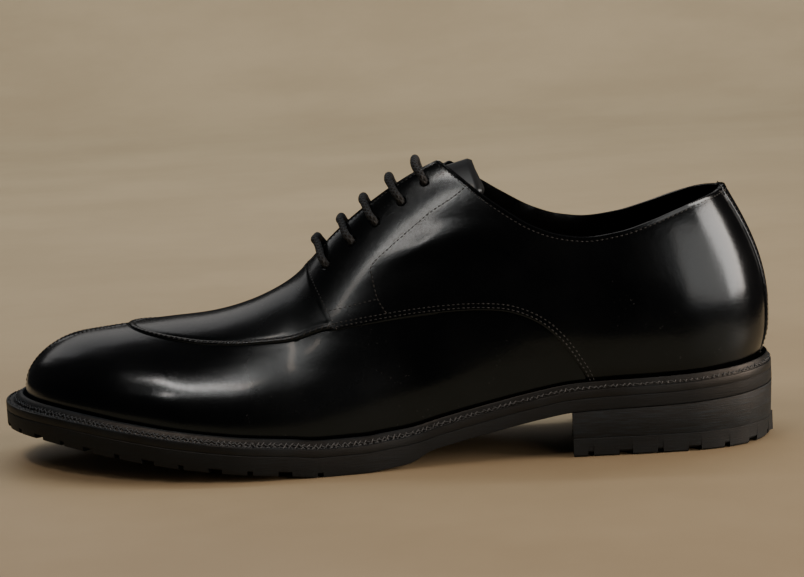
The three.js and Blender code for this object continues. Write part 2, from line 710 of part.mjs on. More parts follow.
const black = (roughness, color) => new THREE.MeshStandardMaterial({ color, roughness, metalness: 0 });
const rubber = () => black(0.75, 0x1c1c1c);
const leather = () => black(0.25, 0x0b0b0b);
const group = new THREE.Group();
group.add(
  meshOf('outsole', outsole, rubber()),
  meshOf('welt', welt, black(0.6, 0x1a1a1a)),
  meshOf('heel_block', heelBlock, black(0.6, 0x191919)),
  meshOf('heel_top_piece', topPiece, rubber()),
  meshOf('insole', insole, black(0.8, 0x161616)),
  meshOf('upper', upper, leather()),
  meshOf('tongue', tongue, leather()),
  ...EYELETS.map((row, i) => meshOf(`lace_bar_${i + 1}`, laceBar(row), black(0.85, 0x202020))),
);

const box = new THREE.Box3().setFromObject(group);
group.position.set(-(box.min.x + box.max.x) / 2, -(box.min.y + box.max.y) / 2, -box.min.z);
export default group;
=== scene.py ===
import math

import bpy
import numpy as np
from mathutils import Matrix, Vector
from mathutils.geometry import delaunay_2d_cdt
from mathutils.kdtree import KDTree


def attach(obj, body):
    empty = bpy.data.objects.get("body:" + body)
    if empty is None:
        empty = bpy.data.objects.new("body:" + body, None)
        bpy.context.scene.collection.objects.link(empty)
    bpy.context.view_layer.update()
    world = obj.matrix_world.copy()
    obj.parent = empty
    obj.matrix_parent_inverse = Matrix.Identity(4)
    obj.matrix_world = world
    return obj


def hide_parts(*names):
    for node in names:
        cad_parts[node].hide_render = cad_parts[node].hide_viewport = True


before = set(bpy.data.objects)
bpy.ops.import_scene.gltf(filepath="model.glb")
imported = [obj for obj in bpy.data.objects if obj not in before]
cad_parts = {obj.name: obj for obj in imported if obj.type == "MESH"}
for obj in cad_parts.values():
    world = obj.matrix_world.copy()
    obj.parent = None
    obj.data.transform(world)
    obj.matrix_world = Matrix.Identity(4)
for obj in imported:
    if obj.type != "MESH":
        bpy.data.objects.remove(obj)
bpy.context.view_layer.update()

# A left derby shoe in black polished leather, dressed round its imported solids.
# Sizes are in millimetres, toe along -X, outer side along -Y, and go into the row frame in metres.

# Sole sizes
SOLE_LENGTH = 308
BALL_WIDTH = 105
OUTSOLE_THICKNESS = 8
TOE_SPRING = 14.5
HEEL_HEIGHT = 17.8
TOP_PIECE_THICKNESS = 7.6
HEEL_LENGTH = 79
HEEL_TAPER = 1.2
SOLE_BEVEL = 0.8
WELT_THICKNESS = 3
WELT_WIDTH = 7
STORM_RIDGE_HEIGHT = 2.8
STORM_RIDGE_WIDTH = 2

# Lug sizes
LUG_PITCH = 13.4
NARROW_NOTCH = 2.2
WIDE_NOTCH = 5.2
NOTCH_DEPTH = 1.6
NOTCH_REACH = 9
FOREFOOT_LEAD = 22.2
HEEL_LEAD = 11

# Upper sizes
INSTEP_HEIGHT = 115
WALL_THICKNESS = 1.8
QUARTER_STEP = 1.2
PLUG_STEP = 0.4
APRON_SEAM_WIDTH = 2.4
BACK_STRIP_RISE = 0.7
BACK_STRIP_WIDTH = 16
THROAT_GAP = 15.5
THROAT_FRONT = 0.589
THROAT_BACK = 0.38
VAMP_START = 0.6
TONGUE_THICKNESS = 2.2
TONGUE_WIDTH = 40
TONGUE_SLANT = 5.5
EYELET_REACH = 21.5
EYELET_RADIUS = 1.8
LACE_DIAMETER = 3
LACE_SAG = 0.7
FIT = 0.3

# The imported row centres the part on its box, which moves it sideways by this much
ROW_SHIFT = np.array([0.0, -0.356, 0.0])
MM = 0.001

# Tables of the last, each by its share of the length from the heel
OUTLINE = [
    (0, 0, 0), (0.016, 0, 0.165), (0.05, 0, 0.265), (0.11, 0, 0.32), (0.2, 0, 0.338),
    (0.28, -0.012, 0.334), (0.36, -0.04, 0.325), (0.44, -0.062, 0.335), (0.52, -0.07, 0.38),
    (0.6, -0.052, 0.442), (0.68, -0.022, 0.488), (0.75, 0.012, 0.5), (0.82, 0.04, 0.468),
    (0.89, 0.062, 0.387), (0.945, 0.08, 0.285), (0.985, 0.1, 0.155), (1, 0.114, 0),
]
# Spring, rise, body and welt
SOLE = [
    (0, 0, 1.2, 0.66, 0.65), (0.107, 0, 1.08, 0.66, 0.57), (0.253, 0, 1, 0.66, 0.57),
    (0.296, 0, 0.885, 0.66, 0.59), (0.351, 0, 0.69, 0.66, 0.62), (0.406, 0, 0.48, 0.66, 0.7),
    (0.432, 0, 0.37, 0.66, 0.75), (0.462, 0, 0.115, 0.95, 0.8), (0.49, 0, 0.045, 1, 0.84),
    (0.515, 0, 0, 1, 0.86), (0.575, 0, 0, 1, 0.9), (0.6, 0.07, 0, 1, 0.92), (0.66, 0.18, 0, 1, 0.95),
    (0.72, 0.32, 0, 1, 1), (0.8, 0.55, 0, 1, 1.05), (0.88, 0.79, 0, 0.97, 1.12),
    (0.94, 0.94, 0, 0.9, 1.2), (1, 1, 0, 0.87, 1.32),
]
# Height and drift of the crest line
CREST = [
    (0.08, 1.113, 0), (0.2, 1.113, 0), (0.3, 1.1, 0), (0.345, 1.078, 0), (0.38, 1.048, 0.005),
    (0.42, 1.008, 0.01), (0.445, 0.976, 0.015), (0.478, 0.92, 0.022), (0.516, 0.842, 0.032),
    (0.55, 0.762, 0.043), (0.565, 0.724, 0.048), (0.584, 0.652, 0.054), (0.6, 0.609, 0.058),
    (0.627, 0.566, 0.064), (0.661, 0.525, 0.07), (0.695, 0.498, 0.074), (0.73, 0.481, 0.077),
    (0.763, 0.474, 0.08), (0.81, 0.463, 0.084), (0.87, 0.445, 0.09),
]
# Top, bulge, low, shoulder and drop of the ribs
RIBS = [
    (0, 0.1, 0.085, 0.52, 0.5, 0.395), (0.03, 0.112, 0.082, 0.47, 0.66, 0.34),
    (0.1, 0.14, 0.075, 0.33, 0.93, 0.22), (0.2, 0.21, 0.06, 0.36, 0.98, 0.15),
    (0.3, 0.3, 0.055, 0.4, 0.9, 0.08), (0.37, 0.37, 0.055, 0.42, 0.68, 0.02),
    (0.43, 0.43, 0.055, 0.43, 0.48, 0), (0.5, 0.5, 0.05, 0.44, 0.42, 0),
    (0.56, 0.56, 0.045, 0.45, 0.42, 0), (0.62, 0.62, 0.042, 0.5, 0.46, 0),
    (0.7, 0.7, 0.038, 0.55, 0.52, 0), (0.8, 0.78, 0.034, 0.58, 0.56, 0),
    (0.9, 0.84, 0.028, 0.58, 0.6, 0), (1, 0.87, 0.024, 0.57, 0.63, 0),
]
COLLAR = [
    (-0.05, 0.877), (0.048, 0.874), (0.056, 0.858), (0.086, 0.836), (0.113, 0.812), (0.151, 0.777),
    (0.188, 0.75), (0.228, 0.738), (0.262, 0.75), (0.295, 0.782), (0.333, 0.845), (0.36, 0.897),
    (0.38, 0.939), (0.398, 0.974), (0.412, 0.996), (0.424, 1.008), (0.434, 1.03), (0.44, 1.1),
]
QUARTER_FRONT = [
    (0.566, 1.3), (0.5675, 1), (0.569, 0.75), (0.579, 0.705), (0.586, 0.66), (0.583, 0.62), (0.566, 0.543),
    (0.55, 0.466),
]
QUARTER_LOWER = [
    (0.55, 0.466), (0.512, 0.481), (0.46, 0.498), (0.41, 0.51), (0.364, 0.513), (0.326, 0.501),
    (0.29, 0.456), (0.266, 0.392), (0.25, 0.328), (0.238, 0.268), (0.233, 0.2), (0.23, 0.1), (0.23, 0),
]
# Outer and inner reach of the plug
PLUG = [
    (0.547, 0.356, 0.222), (0.6, 0.352, 0.23), (0.66, 0.335, 0.234), (0.71, 0.3, 0.226),
    (0.76, 0.245, 0.198), (0.79, 0.19, 0.16), (0.812, 0.125, 0.108), (0.825, 0.06, 0.053), (0.829, 0, 0),
]
# Width and sag of the tongue
TONGUE = [
    (0.378, 0.95, 0.043), (0.4, 0.96, 0.038), (0.44, 1, 0.024), (0.5, 0.99, 0.016), (0.55, 0.93, 0.014),
    (0.57, 0.86, 0.01), (0.585, 0.8, 0.005), (0.61, 0.7, 0.002),
]
# Place, reach, bow and lift of the eyelets and the bars between them
EYELETS = [
    (0.556, 1, 0.9, 0.6), (0.522, 0.97, 1.5, 0), (0.491, 0.93, 1.6, 0), (0.457, 0.86, 1.6, 0),
    (0.427, 0.73, 1.2, 0),
]

OUTER = -1.0
INNER = 1.0
SAMPLE = 1e-3
NEAR_CREST = 0.97
FEATHERING = 0.12
RING_SAMPLES = 1440
RING_SOFTNESS = 0.01
HALVINGS = 26


# ---- Camera: made first, at the photograph's angle ----

def make_camera():
    place = (np.array([72.38, -959.0, 223.7]) + ROW_SHIFT) * MM
    aim = (np.array([9.98, 0.65, 63.1]) + ROW_SHIFT) * MM
    data = bpy.data.cameras.new("camera")
    data.sensor_width = 36
    data.lens = 110.15
    camera = bpy.data.objects.new("camera", data)
    bpy.context.scene.collection.objects.link(camera)
    turned = Vector(aim - place).to_track_quat("-Z", "Y").to_matrix().to_4x4()
    camera.matrix_world = Matrix.Translation(place) @ turned @ Matrix.Rotation(math.radians(-3.28), 4, "Z")
    bpy.context.scene.camera = camera


make_camera()


# ---- Curves and the form of the last ----

def curve_of(rows, column):
    """A smooth curve through a table's rows that never swings past them."""
    xs = np.array([row[0] for row in rows], float)
    ys = np.array([row[column] for row in rows], float)
    steps = np.diff(xs)
    rates = np.diff(ys) / steps
    before, after = rates[:-1], rates[1:]
    left, right = 2 * steps[1:] + steps[:-1], steps[1:] + 2 * steps[:-1]
    with np.errstate(divide="ignore", invalid="ignore"):
        mean = (left + right) / (left / before + right / after)
    slopes = np.concatenate([rates[:1], np.where(before * after > 0, mean, 0), rates[-1:]])

    def read(at):
        x = np.clip(at, xs[0], xs[-1])
        i = np.clip(np.searchsorted(xs, x, side="left") - 1, 0, len(steps) - 1)
        t = (x - xs[i]) / steps[i]
        t2, t3 = t * t, t * t * t
        rise = (t3 - 2 * t2 + t) * slopes[i] + (t3 - t2) * slopes[i + 1]
        return (2 * t3 - 3 * t2 + 1) * ys[i] + (3 * t2 - 2 * t3) * ys[i + 1] + rise * steps[i]

    return read


def along_of(turn):
    return (1 - np.cos(np.asarray(turn, float) * math.pi)) / 2


def angle_of(along):
    return np.arccos(np.clip(1 - 2 * np.asarray(along, float), -1, 1)) / math.pi


by_turn = [(float(angle_of(along)), middle, half) for along, middle, half in OUTLINE]
outline_middle = curve_of(by_turn, 1)
outline_half = curve_of(by_turn, 2)
spring, rise, body, welt_share = [curve_of(SOLE, column) for column in (1, 2, 3, 4)]
crest_height, crest_drift = [curve_of(CREST, column) for column in (1, 2)]
rib_top, rib_bulge, rib_low, rib_shoulder, rib_drop = [curve_of(RIBS, column) for column in (1, 2, 3, 4, 5)]
collar_height = curve_of(COLLAR, 1)


def x_at(along):
    return SOLE_LENGTH * (0.5 - along)


def along_at(x):
    return 0.5 - x / SOLE_LENGTH


def tread_height(along):
    return TOE_SPRING * spring(along) + HEEL_HEIGHT * rise(along)


def outsole_top(along):
    return tread_height(along) + OUTSOLE_THICKNESS * body(along)


def welt_reach(along):
    return WELT_WIDTH * welt_share(along)


def unit(vectors):
    return vectors / np.maximum(np.linalg.norm(vectors, axis=-1, keepdims=True), 1e-12)


def smoothstep(value, low, high):
    t = np.clip((value - low) / (high - low), 0, 1)
    return t * t * (3 - 2 * t)


def outline_point(turn, side, inset=0.0):
    """A point of the sole outline at a turn from heel (0) to toe (1), moved inwards by an inset."""
    turn, side, inset = np.broadcast_arrays(np.asarray(turn, float), side, inset)

    def at(share):
        across = BALL_WIDTH * (outline_middle(share) + side * outline_half(share))
        return np.stack([x_at(along_of(share)), across], -1)

    way = unit(at(np.minimum(turn + SAMPLE, 1)) - at(np.maximum(turn - SAMPLE, 0)))
    out = np.stack([side * way[..., 1], -side * way[..., 0]], -1)
    out[turn <= 0] = (1, 0)
    out[turn >= 1] = (-1, 0)
    return at(turn) - out * inset[..., None]


def rib_controls(turn, side):
    """The four Bezier points of a rib of the last."""
    along = along_of(turn)
    foot = outline_point(turn, side, welt_reach(along))
    start = np.stack([foot[..., 0], foot[..., 1], outsole_top(along_at(foot[..., 0])) + FIT], -1)
    top = rib_top(along)
    end = np.stack([x_at(top), BALL_WIDTH * crest_drift(top), INSTEP_HEIGHT * crest_height(top)], -1)
    height = end[..., 2] - start[..., 2]
    belly = outline_point(turn, side, welt_reach(along) - BALL_WIDTH * rib_bulge(along))
    low = np.stack([belly[..., 0], belly[..., 1], start[..., 2] + height * rib_low(along)], -1)
    high = end + (start - end) * rib_shoulder(along)[..., None]
    slope = (crest_height(top + SAMPLE) - crest_height(top - SAMPLE)) / (2 * SAMPLE)
    followed = np.where(top > VAMP_START, slope * (along_at(high[..., 0]) - top), 0)
    high[..., 2] = end[..., 2] + INSTEP_HEIGHT * followed - height * rib_drop(along)
    return np.stack([start, low, high, end], -2)


def softened(samples, spread):
    """Samples round the ring with their sudden changes spread out."""
    count = len(samples)
    waves = np.fft.rfftfreq(count, d=2.0 / count)
    damp = np.exp(-2 * (math.pi * spread * waves) ** 2).reshape((-1,) + (1,) * (samples.ndim - 1))
    return np.fft.irfft(np.fft.rfft(samples, axis=0) * damp, count, axis=0)


# The ring runs from the heel round the outer side (0 to 1) and back along the inner side (1 to 2)
ring = np.arange(RING_SAMPLES) * (2 / RING_SAMPLES)
ring_turn = 1 - np.abs(1 - ring)
controls = softened(rib_controls(ring_turn, np.where(ring <= 1, OUTER, INNER)), RING_SOFTNESS)


def ring_read(table, place):
    count = len(table)
    t = np.mod(place, 2) * count / 2
    i = np.floor(t).astype(int)
    f = (t - i).reshape(t.shape + (1,) * (table.ndim - 1))
    a, b, c, d = [table[(i + k) % count] for k in (-1, 0, 1, 2)]
    return b + f * (c - a) / 2 + f * f * (a - 2.5 * b + 2 * c - d / 2) + f ** 3 * (1.5 * (b - c) + (d - a) / 2)


def bezier(points, climb):
    v = climb[..., None]
    u = 1 - v
    a, b, c, d = [points[..., k, :] for k in range(4)]
    return u ** 3 * a + 3 * u * u * v * b + 3 * u * v * v * c + v ** 3 * d


def last_point(place, climb):
    place, climb = np.broadcast_arrays(np.asarray(place, float), np.asarray(climb, float))
    return bezier(ring_read(controls, place), climb)


def last_slopes(place, climb):
    """How the surface moves with the ring place and with the climb."""
    round_ring = (last_point(place + SAMPLE, climb) - last_point(place - SAMPLE, climb)) / (2 * SAMPLE)
    upward = (last_point(place, climb + SAMPLE) - last_point(place, climb - SAMPLE)) / (2 * SAMPLE)
    return round_ring, upward


def last_normal(place, climb):
    """Outward direction. Near the crest the two sides come to share one direction."""
    place, climb = np.broadcast_arrays(np.asarray(place, float), np.asarray(climb, float))
    near = np.minimum(climb, NEAR_CREST)
    own = unit(np.cross(*last_slopes(place, near))) * -1
    other = unit(np.cross(*last_slopes(2 - place, near))) * -1
    shared = 0.5 * smoothstep(climb, 0.93, 1)[..., None]
    return unit(own * (1 - shared) + other * shared)


check = last_normal(np.array([0.5]), np.array([0.4]))[0]
NORMAL_SIGN = 1.0 if check[1] < 0 else -1.0


def shell_point(place, climb, offset):
    return last_point(place, climb) + NORMAL_SIGN * last_normal(place, climb) * np.asarray(offset)[..., None]


def first_where(measure, low, high):
    """Where a measure that grows from low to high passes zero, one answer for each entry."""
    low, high = np.array(low, float), np.array(high, float)
    for _ in range(HALVINGS):
        middle = (low + high) / 2
        below = measure(middle) < 0
        low, high = np.where(below, middle, low), np.where(below, high, middle)
    return (low + high) / 2


def climb_beside(place, distance):
    """The climb at a straight distance from the crest line."""
    crest = last_point(place, 1.0)
    apart = lambda climb: distance - np.linalg.norm(last_point(place, climb) - crest, axis=-1)
    return first_where(apart, np.zeros_like(place), np.ones_like(place))


def smooth_path(points, count):
    """A soft curve through points, evenly stepped."""
    points = np.asarray(points, float)
    steps = np.linalg.norm(np.diff(points, axis=0), axis=1) ** 0.5
    knots = np.concatenate([[0], np.cumsum(steps)])
    slopes = np.gradient(points, knots, axis=0)
    fine = np.linspace(0, knots[-1], count * 4)
    i = np.clip(np.searchsorted(knots, fine) - 1, 0, len(steps) - 1)
    t = ((fine - knots[i]) / steps[i])[:, None]
    h = steps[i][:, None]
    path = (2 * t ** 3 - 3 * t * t + 1) * points[i] + (3 * t * t - 2 * t ** 3) * points[i + 1]
    path = path + h * ((t ** 3 - 2 * t * t + t) * slopes[i] + (t ** 3 - t * t) * slopes[i + 1])
    return evenly(path, path, count)


def evenly(path, values, count):
    """Values along a path, read again at even steps of the path's length."""
    walked = np.concatenate([[0], np.cumsum(np.linalg.norm(np.diff(path, axis=0), axis=1))])
    at = np.linspace(0, walked[-1], count)
    return np.stack([np.interp(at, walked, values[:, k]) for k in range(values.shape[1])], -1)


def stepped(curve, spacing):
    """A curve on the last, as ring places and climbs, read again at even steps."""
    path = last_point(curve[:, 0], curve[:, 1])
    length = np.linalg.norm(np.diff(path, axis=0), axis=1).sum()
    return evenly(path, curve, max(int(round(length / spacing)) + 1, 3))


def trace(side, targets, axes):
    """The curve on one side of the last that shows at the targets in a flat view."""
    low, high = (0.0, 1.0) if side == OUTER else (1.0, 2.0)
    places, climbs = np.meshgrid(np.linspace(low, high, 500), np.linspace(0, 1, 120), indexing="ij")
    places, climbs = places.ravel(), climbs.ravel()
    seen = last_point(places, climbs)[:, axes]
    nearest = [int(np.argmin(((seen - target) ** 2).sum(1))) for target in targets]
    place, climb = places[nearest], climbs[nearest]
    for _ in range(14):
        miss = targets - last_point(place, climb)[:, axes]
        a, b = [slope[:, axes] for slope in last_slopes(place, climb)]
        size = a[:, 0] * b[:, 1] - a[:, 1] * b[:, 0]
        size = np.where(np.abs(size) < 1e-3, 1e-3, size)
        place = np.clip(place + np.clip((miss[:, 0] * b[:, 1] - miss[:, 1] * b[:, 0]) / size, -0.02, 0.02), low, high)
        climb = np.clip(climb + np.clip((a[:, 0] * miss[:, 1] - a[:, 1] * miss[:, 0]) / size, -0.05, 0.05), 0, 1)
    return np.stack([place, climb], -1)


def beside(curve, reach):
    """The curve moved over the last by a reach, to the left of its way seen from outside."""
    place, climb = curve[:, 0], np.clip(curve[:, 1], 0.01, 0.99)
    path = last_point(curve[:, 0], curve[:, 1])
    way = unit(np.gradient(path, axis=0))
    aside = np.cross(NORMAL_SIGN * last_normal(place, climb), way) * np.asarray(reach)
    a, b = last_slopes(place, climb)
    aa, ab, bb = (a * a).sum(1), (a * b).sum(1), (b * b).sum(1)
    ga, gb = (a * aside).sum(1), (b * aside).sum(1)
    size = aa * bb - ab * ab
    return curve + np.stack([(ga * bb - gb * ab) / size, (gb * aa - ga * ab) / size], -1)


def distance_to(points, line):
    """Straight distance from points to a fine line of points."""
    nearest = np.empty(len(points), int)
    squares = (line ** 2).sum(1)
    for start in range(0, len(points), 8000):
        part = points[start:start + 8000]
        nearest[start:start + 8000] = np.argmin(squares - 2 * part @ line.T, axis=1)
    best = np.linalg.norm(points - line[nearest], axis=1)
    for shift in (-1, 0):
        i = np.clip(nearest + shift, 0, len(line) - 2)
        a, b = line[i], line[i + 1]
        run = b - a
        t = np.clip(((points - a) * run).sum(1) / np.maximum((run * run).sum(1), 1e-12), 0, 1)
        best = np.minimum(best, np.linalg.norm(points - a - run * t[:, None], axis=1))
    return best


def inside(points, polygon):
    """Which flat points lie inside a polygon."""
    result = np.zeros(len(points), bool)
    x, y = points[:, 0], points[:, 1]
    for (ax, ay), (bx, by) in zip(polygon, np.roll(polygon, -1, axis=0)):
        if ay == by:
            continue
        crosses = ((ay > y) != (by > y)) & (x < (bx - ax) * (y - ay) / (by - ay) + ax)
        result ^= crosses
    return result


# ---- The lines that divide the upper ----

def side_view(rows, count):
    return smooth_path([(x_at(along), INSTEP_HEIGHT * height) for along, height in rows], count)


quarter_front = side_view(QUARTER_FRONT, 120)
quarter_lower = side_view(QUARTER_LOWER, 220)
quarter_plan = np.concatenate([
    quarter_front, quarter_lower[1:], [(x_at(-0.1), 0), (x_at(-0.1), 1.3 * INSTEP_HEIGHT)],
])
plug_front_along = PLUG[-1][0]
plug_rows = [(float(angle_of(along / plug_front_along)), outer, inner) for along, outer, inner in PLUG]
plug_outer, plug_inner = curve_of(plug_rows, 1), curve_of(plug_rows, 2)


def plug_edge(side, count=140):
    first = float(angle_of(PLUG[0][0] / plug_front_along))
    turn = np.linspace(first, 1, count)
    along = plug_front_along * along_of(turn)
    half = (plug_outer if side == OUTER else plug_inner)(turn)
    return np.stack([x_at(along), BALL_WIDTH * (crest_drift(along) + side * half)], -1)


plug_plan = np.concatenate([plug_edge(OUTER), plug_edge(INNER)[::-1]])


def openness(place, climb):
    """Above zero where the collar or the slit between the facings leaves the last open."""
    point = last_point(place, climb)
    along = along_at(point[..., 0])
    collar = np.where(along < COLLAR[-1][0], point[..., 2] - INSTEP_HEIGHT * collar_height(along), -9)
    tip = THROAT_GAP / 2
    past = np.clip((along - THROAT_FRONT) * SOLE_LENGTH / tip + 1, 0, 1)
    half = tip * np.sqrt(1 - past * past)
    slit = half - np.abs(point[..., 1] - BALL_WIDTH * crest_drift(along))
    slit = np.where((along > THROAT_BACK) & (along < THROAT_FRONT), slit, -9)
    return np.maximum(collar, slit)


ribs_to_tip = float(first_where(lambda t: rib_top(along_of(t)) - THROAT_FRONT, 0.0, 1.0))


def top_line(side):
    """The upper's top edge on one side, from the heel to the front of the slit."""
    near_tip = ribs_to_tip - np.linspace(0, 0.2, 80) ** 2
    turn = np.unique(np.concatenate([np.linspace(0, ribs_to_tip, 1600), near_tip]))
    place = turn if side == OUTER else 2 - turn
    climbs = np.linspace(0.02, 1, 90)
    is_open = openness(place[:, None], climbs[None, :]) > 0
    found = np.where(is_open.any(1), is_open.argmax(1), len(climbs) - 1)
    high = climbs[found]
    low = np.where(found > 0, climbs[found - 1], 0)
    top = first_where(lambda climb: openness(place, climb), low, high)
    top = np.where(is_open.any(1), top, 1)
    curve = stepped(np.stack([place, top], -1), 0.4)
    for _ in range(10):
        curve[1:-1] = (curve[:-2] + 2 * curve[1:-1] + curve[2:]) / 4
    curve[0] = (0.0 if side == OUTER else 2.0, curve[6, 1])
    curve[1:6, 1] = curve[6, 1]
    curve[-1] = (ribs_to_tip if side == OUTER else 2 - ribs_to_tip, 1)
    return stepped(curve, 0.9)


top_lines = {side: top_line(side) for side in (OUTER, INNER)}


def under_top(place, climb):
    """How far a climb stays under the top edge."""
    result = np.full(len(place), 1.0)
    for side, line in top_lines.items():
        turn = place if side == OUTER else 2 - place
        on_side = place <= 1 if side == OUTER else place > 1
        edge = line[:, 0] if side == OUTER else 2 - line[:, 0]
        limit = np.interp(turn, edge, line[:, 1], right=1)
        result = np.where(on_side, limit, result)
    return result - climb


def kept(curve):
    """The part of a curve that lies on the upper."""
    room = under_top(curve[:, 0], curve[:, 1])
    return curve[(room > -1e-6) & (curve[:, 1] >= 0)]


quarter_lines = {}
lower_lines = {}
front_lines = {}
plug_lines = {}
strip_lines = {}
for side in (OUTER, INNER):
    front = kept(trace(side, quarter_front, [0, 2]))
    lower = trace(side, quarter_lower, [0, 2])
    lower = lower[lower[:, 1] > 0.002]
    front_lines[side] = stepped(front, 0.5)
    lower_lines[side] = stepped(lower, 0.5)
    quarter_lines[side] = np.concatenate([front_lines[side], lower_lines[side][1:]])
    plug_lines[side] = stepped(trace(side, plug_edge(side), [0, 1]), 0.5)
    climbs = np.linspace(0, 0.8, 90)
    edge_y = side * BACK_STRIP_WIDTH / 2
    across = lambda turn: np.abs(last_point(turn if side == OUTER else 2 - turn, climbs)[:, 1]) - abs(edge_y)
    turn = first_where(across, np.zeros_like(climbs), np.full_like(climbs, 0.2))
    strip_lines[side] = stepped(kept(np.stack([turn if side == OUTER else 2 - turn, climbs], -1)), 0.5)

# Middle line of the toe, from the front of the plug down to the feather
plug_tip_turn = float(first_where(lambda t: rib_top(along_of(t)) - plug_front_along, 0.0, 1.0))
toe_crest = np.stack([np.linspace(plug_tip_turn, 1, 60), np.ones(60)], -1)
toe_drop = np.stack([np.ones(80), np.linspace(1, 0, 80)], -1)


def eyelet_places(side):
    turn = angle_of(np.array([row[0] for row in EYELETS]))
    place = turn if side == OUTER else 2 - turn
    reach = EYELET_REACH * np.array([row[1] for row in EYELETS])
    return np.stack([place, climb_beside(place, reach)], -1)


eyelets = {side: eyelet_places(side) for side in (OUTER, INNER)}


# ---- Heights that stand off the last ----

def line_points(lines):
    return np.concatenate([last_point(line[:, 0], line[:, 1]) for line in lines])


STEP_SHARE = ([-0.06, 0.04, 0.14, 0.45], [0, 0.72, 0.9, 1])
SEAM_RISE = (
    [-2.2, -1.1, -0.5, -0.22, 0.0, 0.2, 0.5, 1.05, 1.6, 2.1, 2.4, 2.7, 3.4],
    [0, 0.05, 0.04, -0.4, -0.5, 0.25, 0.7, 0.86, 0.78, 0.5, 0.2, 0.24, PLUG_STEP],
)
TOE_SEAM_RISE = ([0, 0.14, 0.36, 0.75, 1.15, 1.9], [-0.25, 0.1, 0.4, 0.38, 0.1, 0])
COLLAR_BEAD = ([0, 0.7, 1.25, 1.5, 1.8, 3], [0.1, 0.26, 0.06, -0.1, -0.04, 0])
RIM_ROUNDING = 0.75
RIM_DEPTH = -0.4


def signed(distance, within):
    return np.where(within, distance, -distance)


def creases(points):
    """Soft rolls that wear leaves: over the vamp's flex line, and where the quarter wraps the heel stiffener."""
    along, up = along_at(points[:, 0]), points[:, 2]
    rolls = 0.007 * np.sin(along * 200 + up * 0.06) * np.exp(-((along - 0.62) / 0.03) ** 2)
    rolls *= smoothstep(up, 26, 40)
    wave = 0.2 * np.sin(points[:, 0] * 0.1 + up * 0.08 + 0.7) * np.sin(up * 0.12 - points[:, 0] * 0.03)
    wave *= np.exp(-((along - 0.2) / 0.16) ** 2) * smoothstep(up, 34, 50)
    flex = -0.6 * smoothstep(points[:, 0], -46, -24) * (1 - smoothstep(points[:, 0], -12, 50))
    flex *= smoothstep(up, 30, 42) * (1 - smoothstep(up, 50, 60))
    return rolls + wave + flex


def lower_roll(climb, points):
    """The upper swells over the feather all round, most along the forefoot."""
    swell = np.interp(climb, *LOWER_ROLL)
    return swell * (0.35 + 0.65 * smoothstep(along_at(points[:, 0]), 0.2, 0.45))


LOWER_ROLL = ([0, 0.03, 0.08, 0.14, 0.2, 0.27, 0.36, 0.48, 0.62], [-0.3, -0.1, 0.35, 0.75, 0.95, 0.9, 0.6, 0.2, 0])


# The stay stitch behind the eyelets, and the roll that the facing's backer raises behind it
STAY = [
    (0.3741, 0.9125), (0.389, 0.8816), (0.4032, 0.8583), (0.42, 0.8319), (0.4552, 0.7602), (0.4786, 0.7105),
    (0.492, 0.681), (0.499, 0.6596), (0.4985, 0.6336), (0.4967, 0.6079), (0.4935, 0.5699), (0.4892, 0.5442),
    (0.4828, 0.5181),
]
stay_view = side_view(STAY, 160)
stay_lines = {side: stepped(kept(trace(side, stay_view, [0, 2])), 0.5) for side in (OUTER, INNER)}
STAY_ROLL = ([-3, 0, 2, 5, 8.5, 12, 21, 31], [0, 0, 0.07, 0.34, 0.8, 0.84, 0.42, 0])


def facing_roll(points):
    along = along_at(points[:, 0])
    stay_along = np.interp(-points[:, 2], -stay_view[:, 1], along_at(stay_view[:, 0]))
    behind = along < stay_along
    total = np.zeros(len(points))
    for side in (OUTER, INNER):
        near = np.sign(points[:, 1] - BALL_WIDTH * crest_drift(along)) == side
        distance = signed(distance_to(points, line_points([stay_lines[side]])), behind)
        total += np.where(near, np.interp(distance, *STAY_ROLL), 0)
    total *= smoothstep(points[:, 2], 74, 84) * (1 - smoothstep(points[:, 2], 84, 95))
    fall = 0.8 * np.tanh(np.clip((88 - points[:, 2]) / 10, 0, 4) ** 2 * 0.2)
    return total - fall * smoothstep(along, 0.38, 0.5)


def outer_heights(place, climb, points, rim):
    within = inside(points[:, [0, 2]], quarter_plan)
    quarter = signed(distance_to(points, line_points([quarter_lines[OUTER]])), within)
    other = signed(distance_to(points, line_points([quarter_lines[INNER]])), within)
    quarter = np.where(place <= 1, quarter, other)
    share = np.interp(quarter, *STEP_SHARE)

    within = inside(points[:, [0, 1]], plug_plan) & (points[:, 2] > 40)
    seams = np.minimum(
        distance_to(points, line_points([plug_lines[OUTER]])),
        distance_to(points, line_points([plug_lines[INNER]])),
    )
    seam = np.interp(signed(seams, within), *SEAM_RISE)
    toe = distance_to(points, line_points([toe_crest, toe_drop]))
    clear = smoothstep(signed(seams, ~within), 0.4, 1.2)
    seam = seam + np.interp(toe, *TOE_SEAM_RISE) * clear

    height = seam * (1 - share) + QUARTER_STEP * share
    strip_edge = np.minimum(
        distance_to(points, line_points([strip_lines[OUTER]])),
        distance_to(points, line_points([strip_lines[INNER]])),
    )
    in_strip = (np.abs(points[:, 1]) < BACK_STRIP_WIDTH / 2) & (points[:, 0] > 100)
    height = height + BACK_STRIP_RISE * np.interp(signed(strip_edge, in_strip), *STEP_SHARE)
    height = height + creases(points) + facing_roll(points) * share
    laid = smoothstep(climb, 0, FEATHERING)
    height = np.where(height > 0, np.maximum(-WALL_THICKNESS / 3 * (1 - laid) + height * laid, 0), height)
    height = height + lower_roll(climb, points)
    height = height + np.interp(rim["top"], *COLLAR_BEAD) * smoothstep(rim["top"], 0, 0.1)
    return rounded_rim(height, rim)


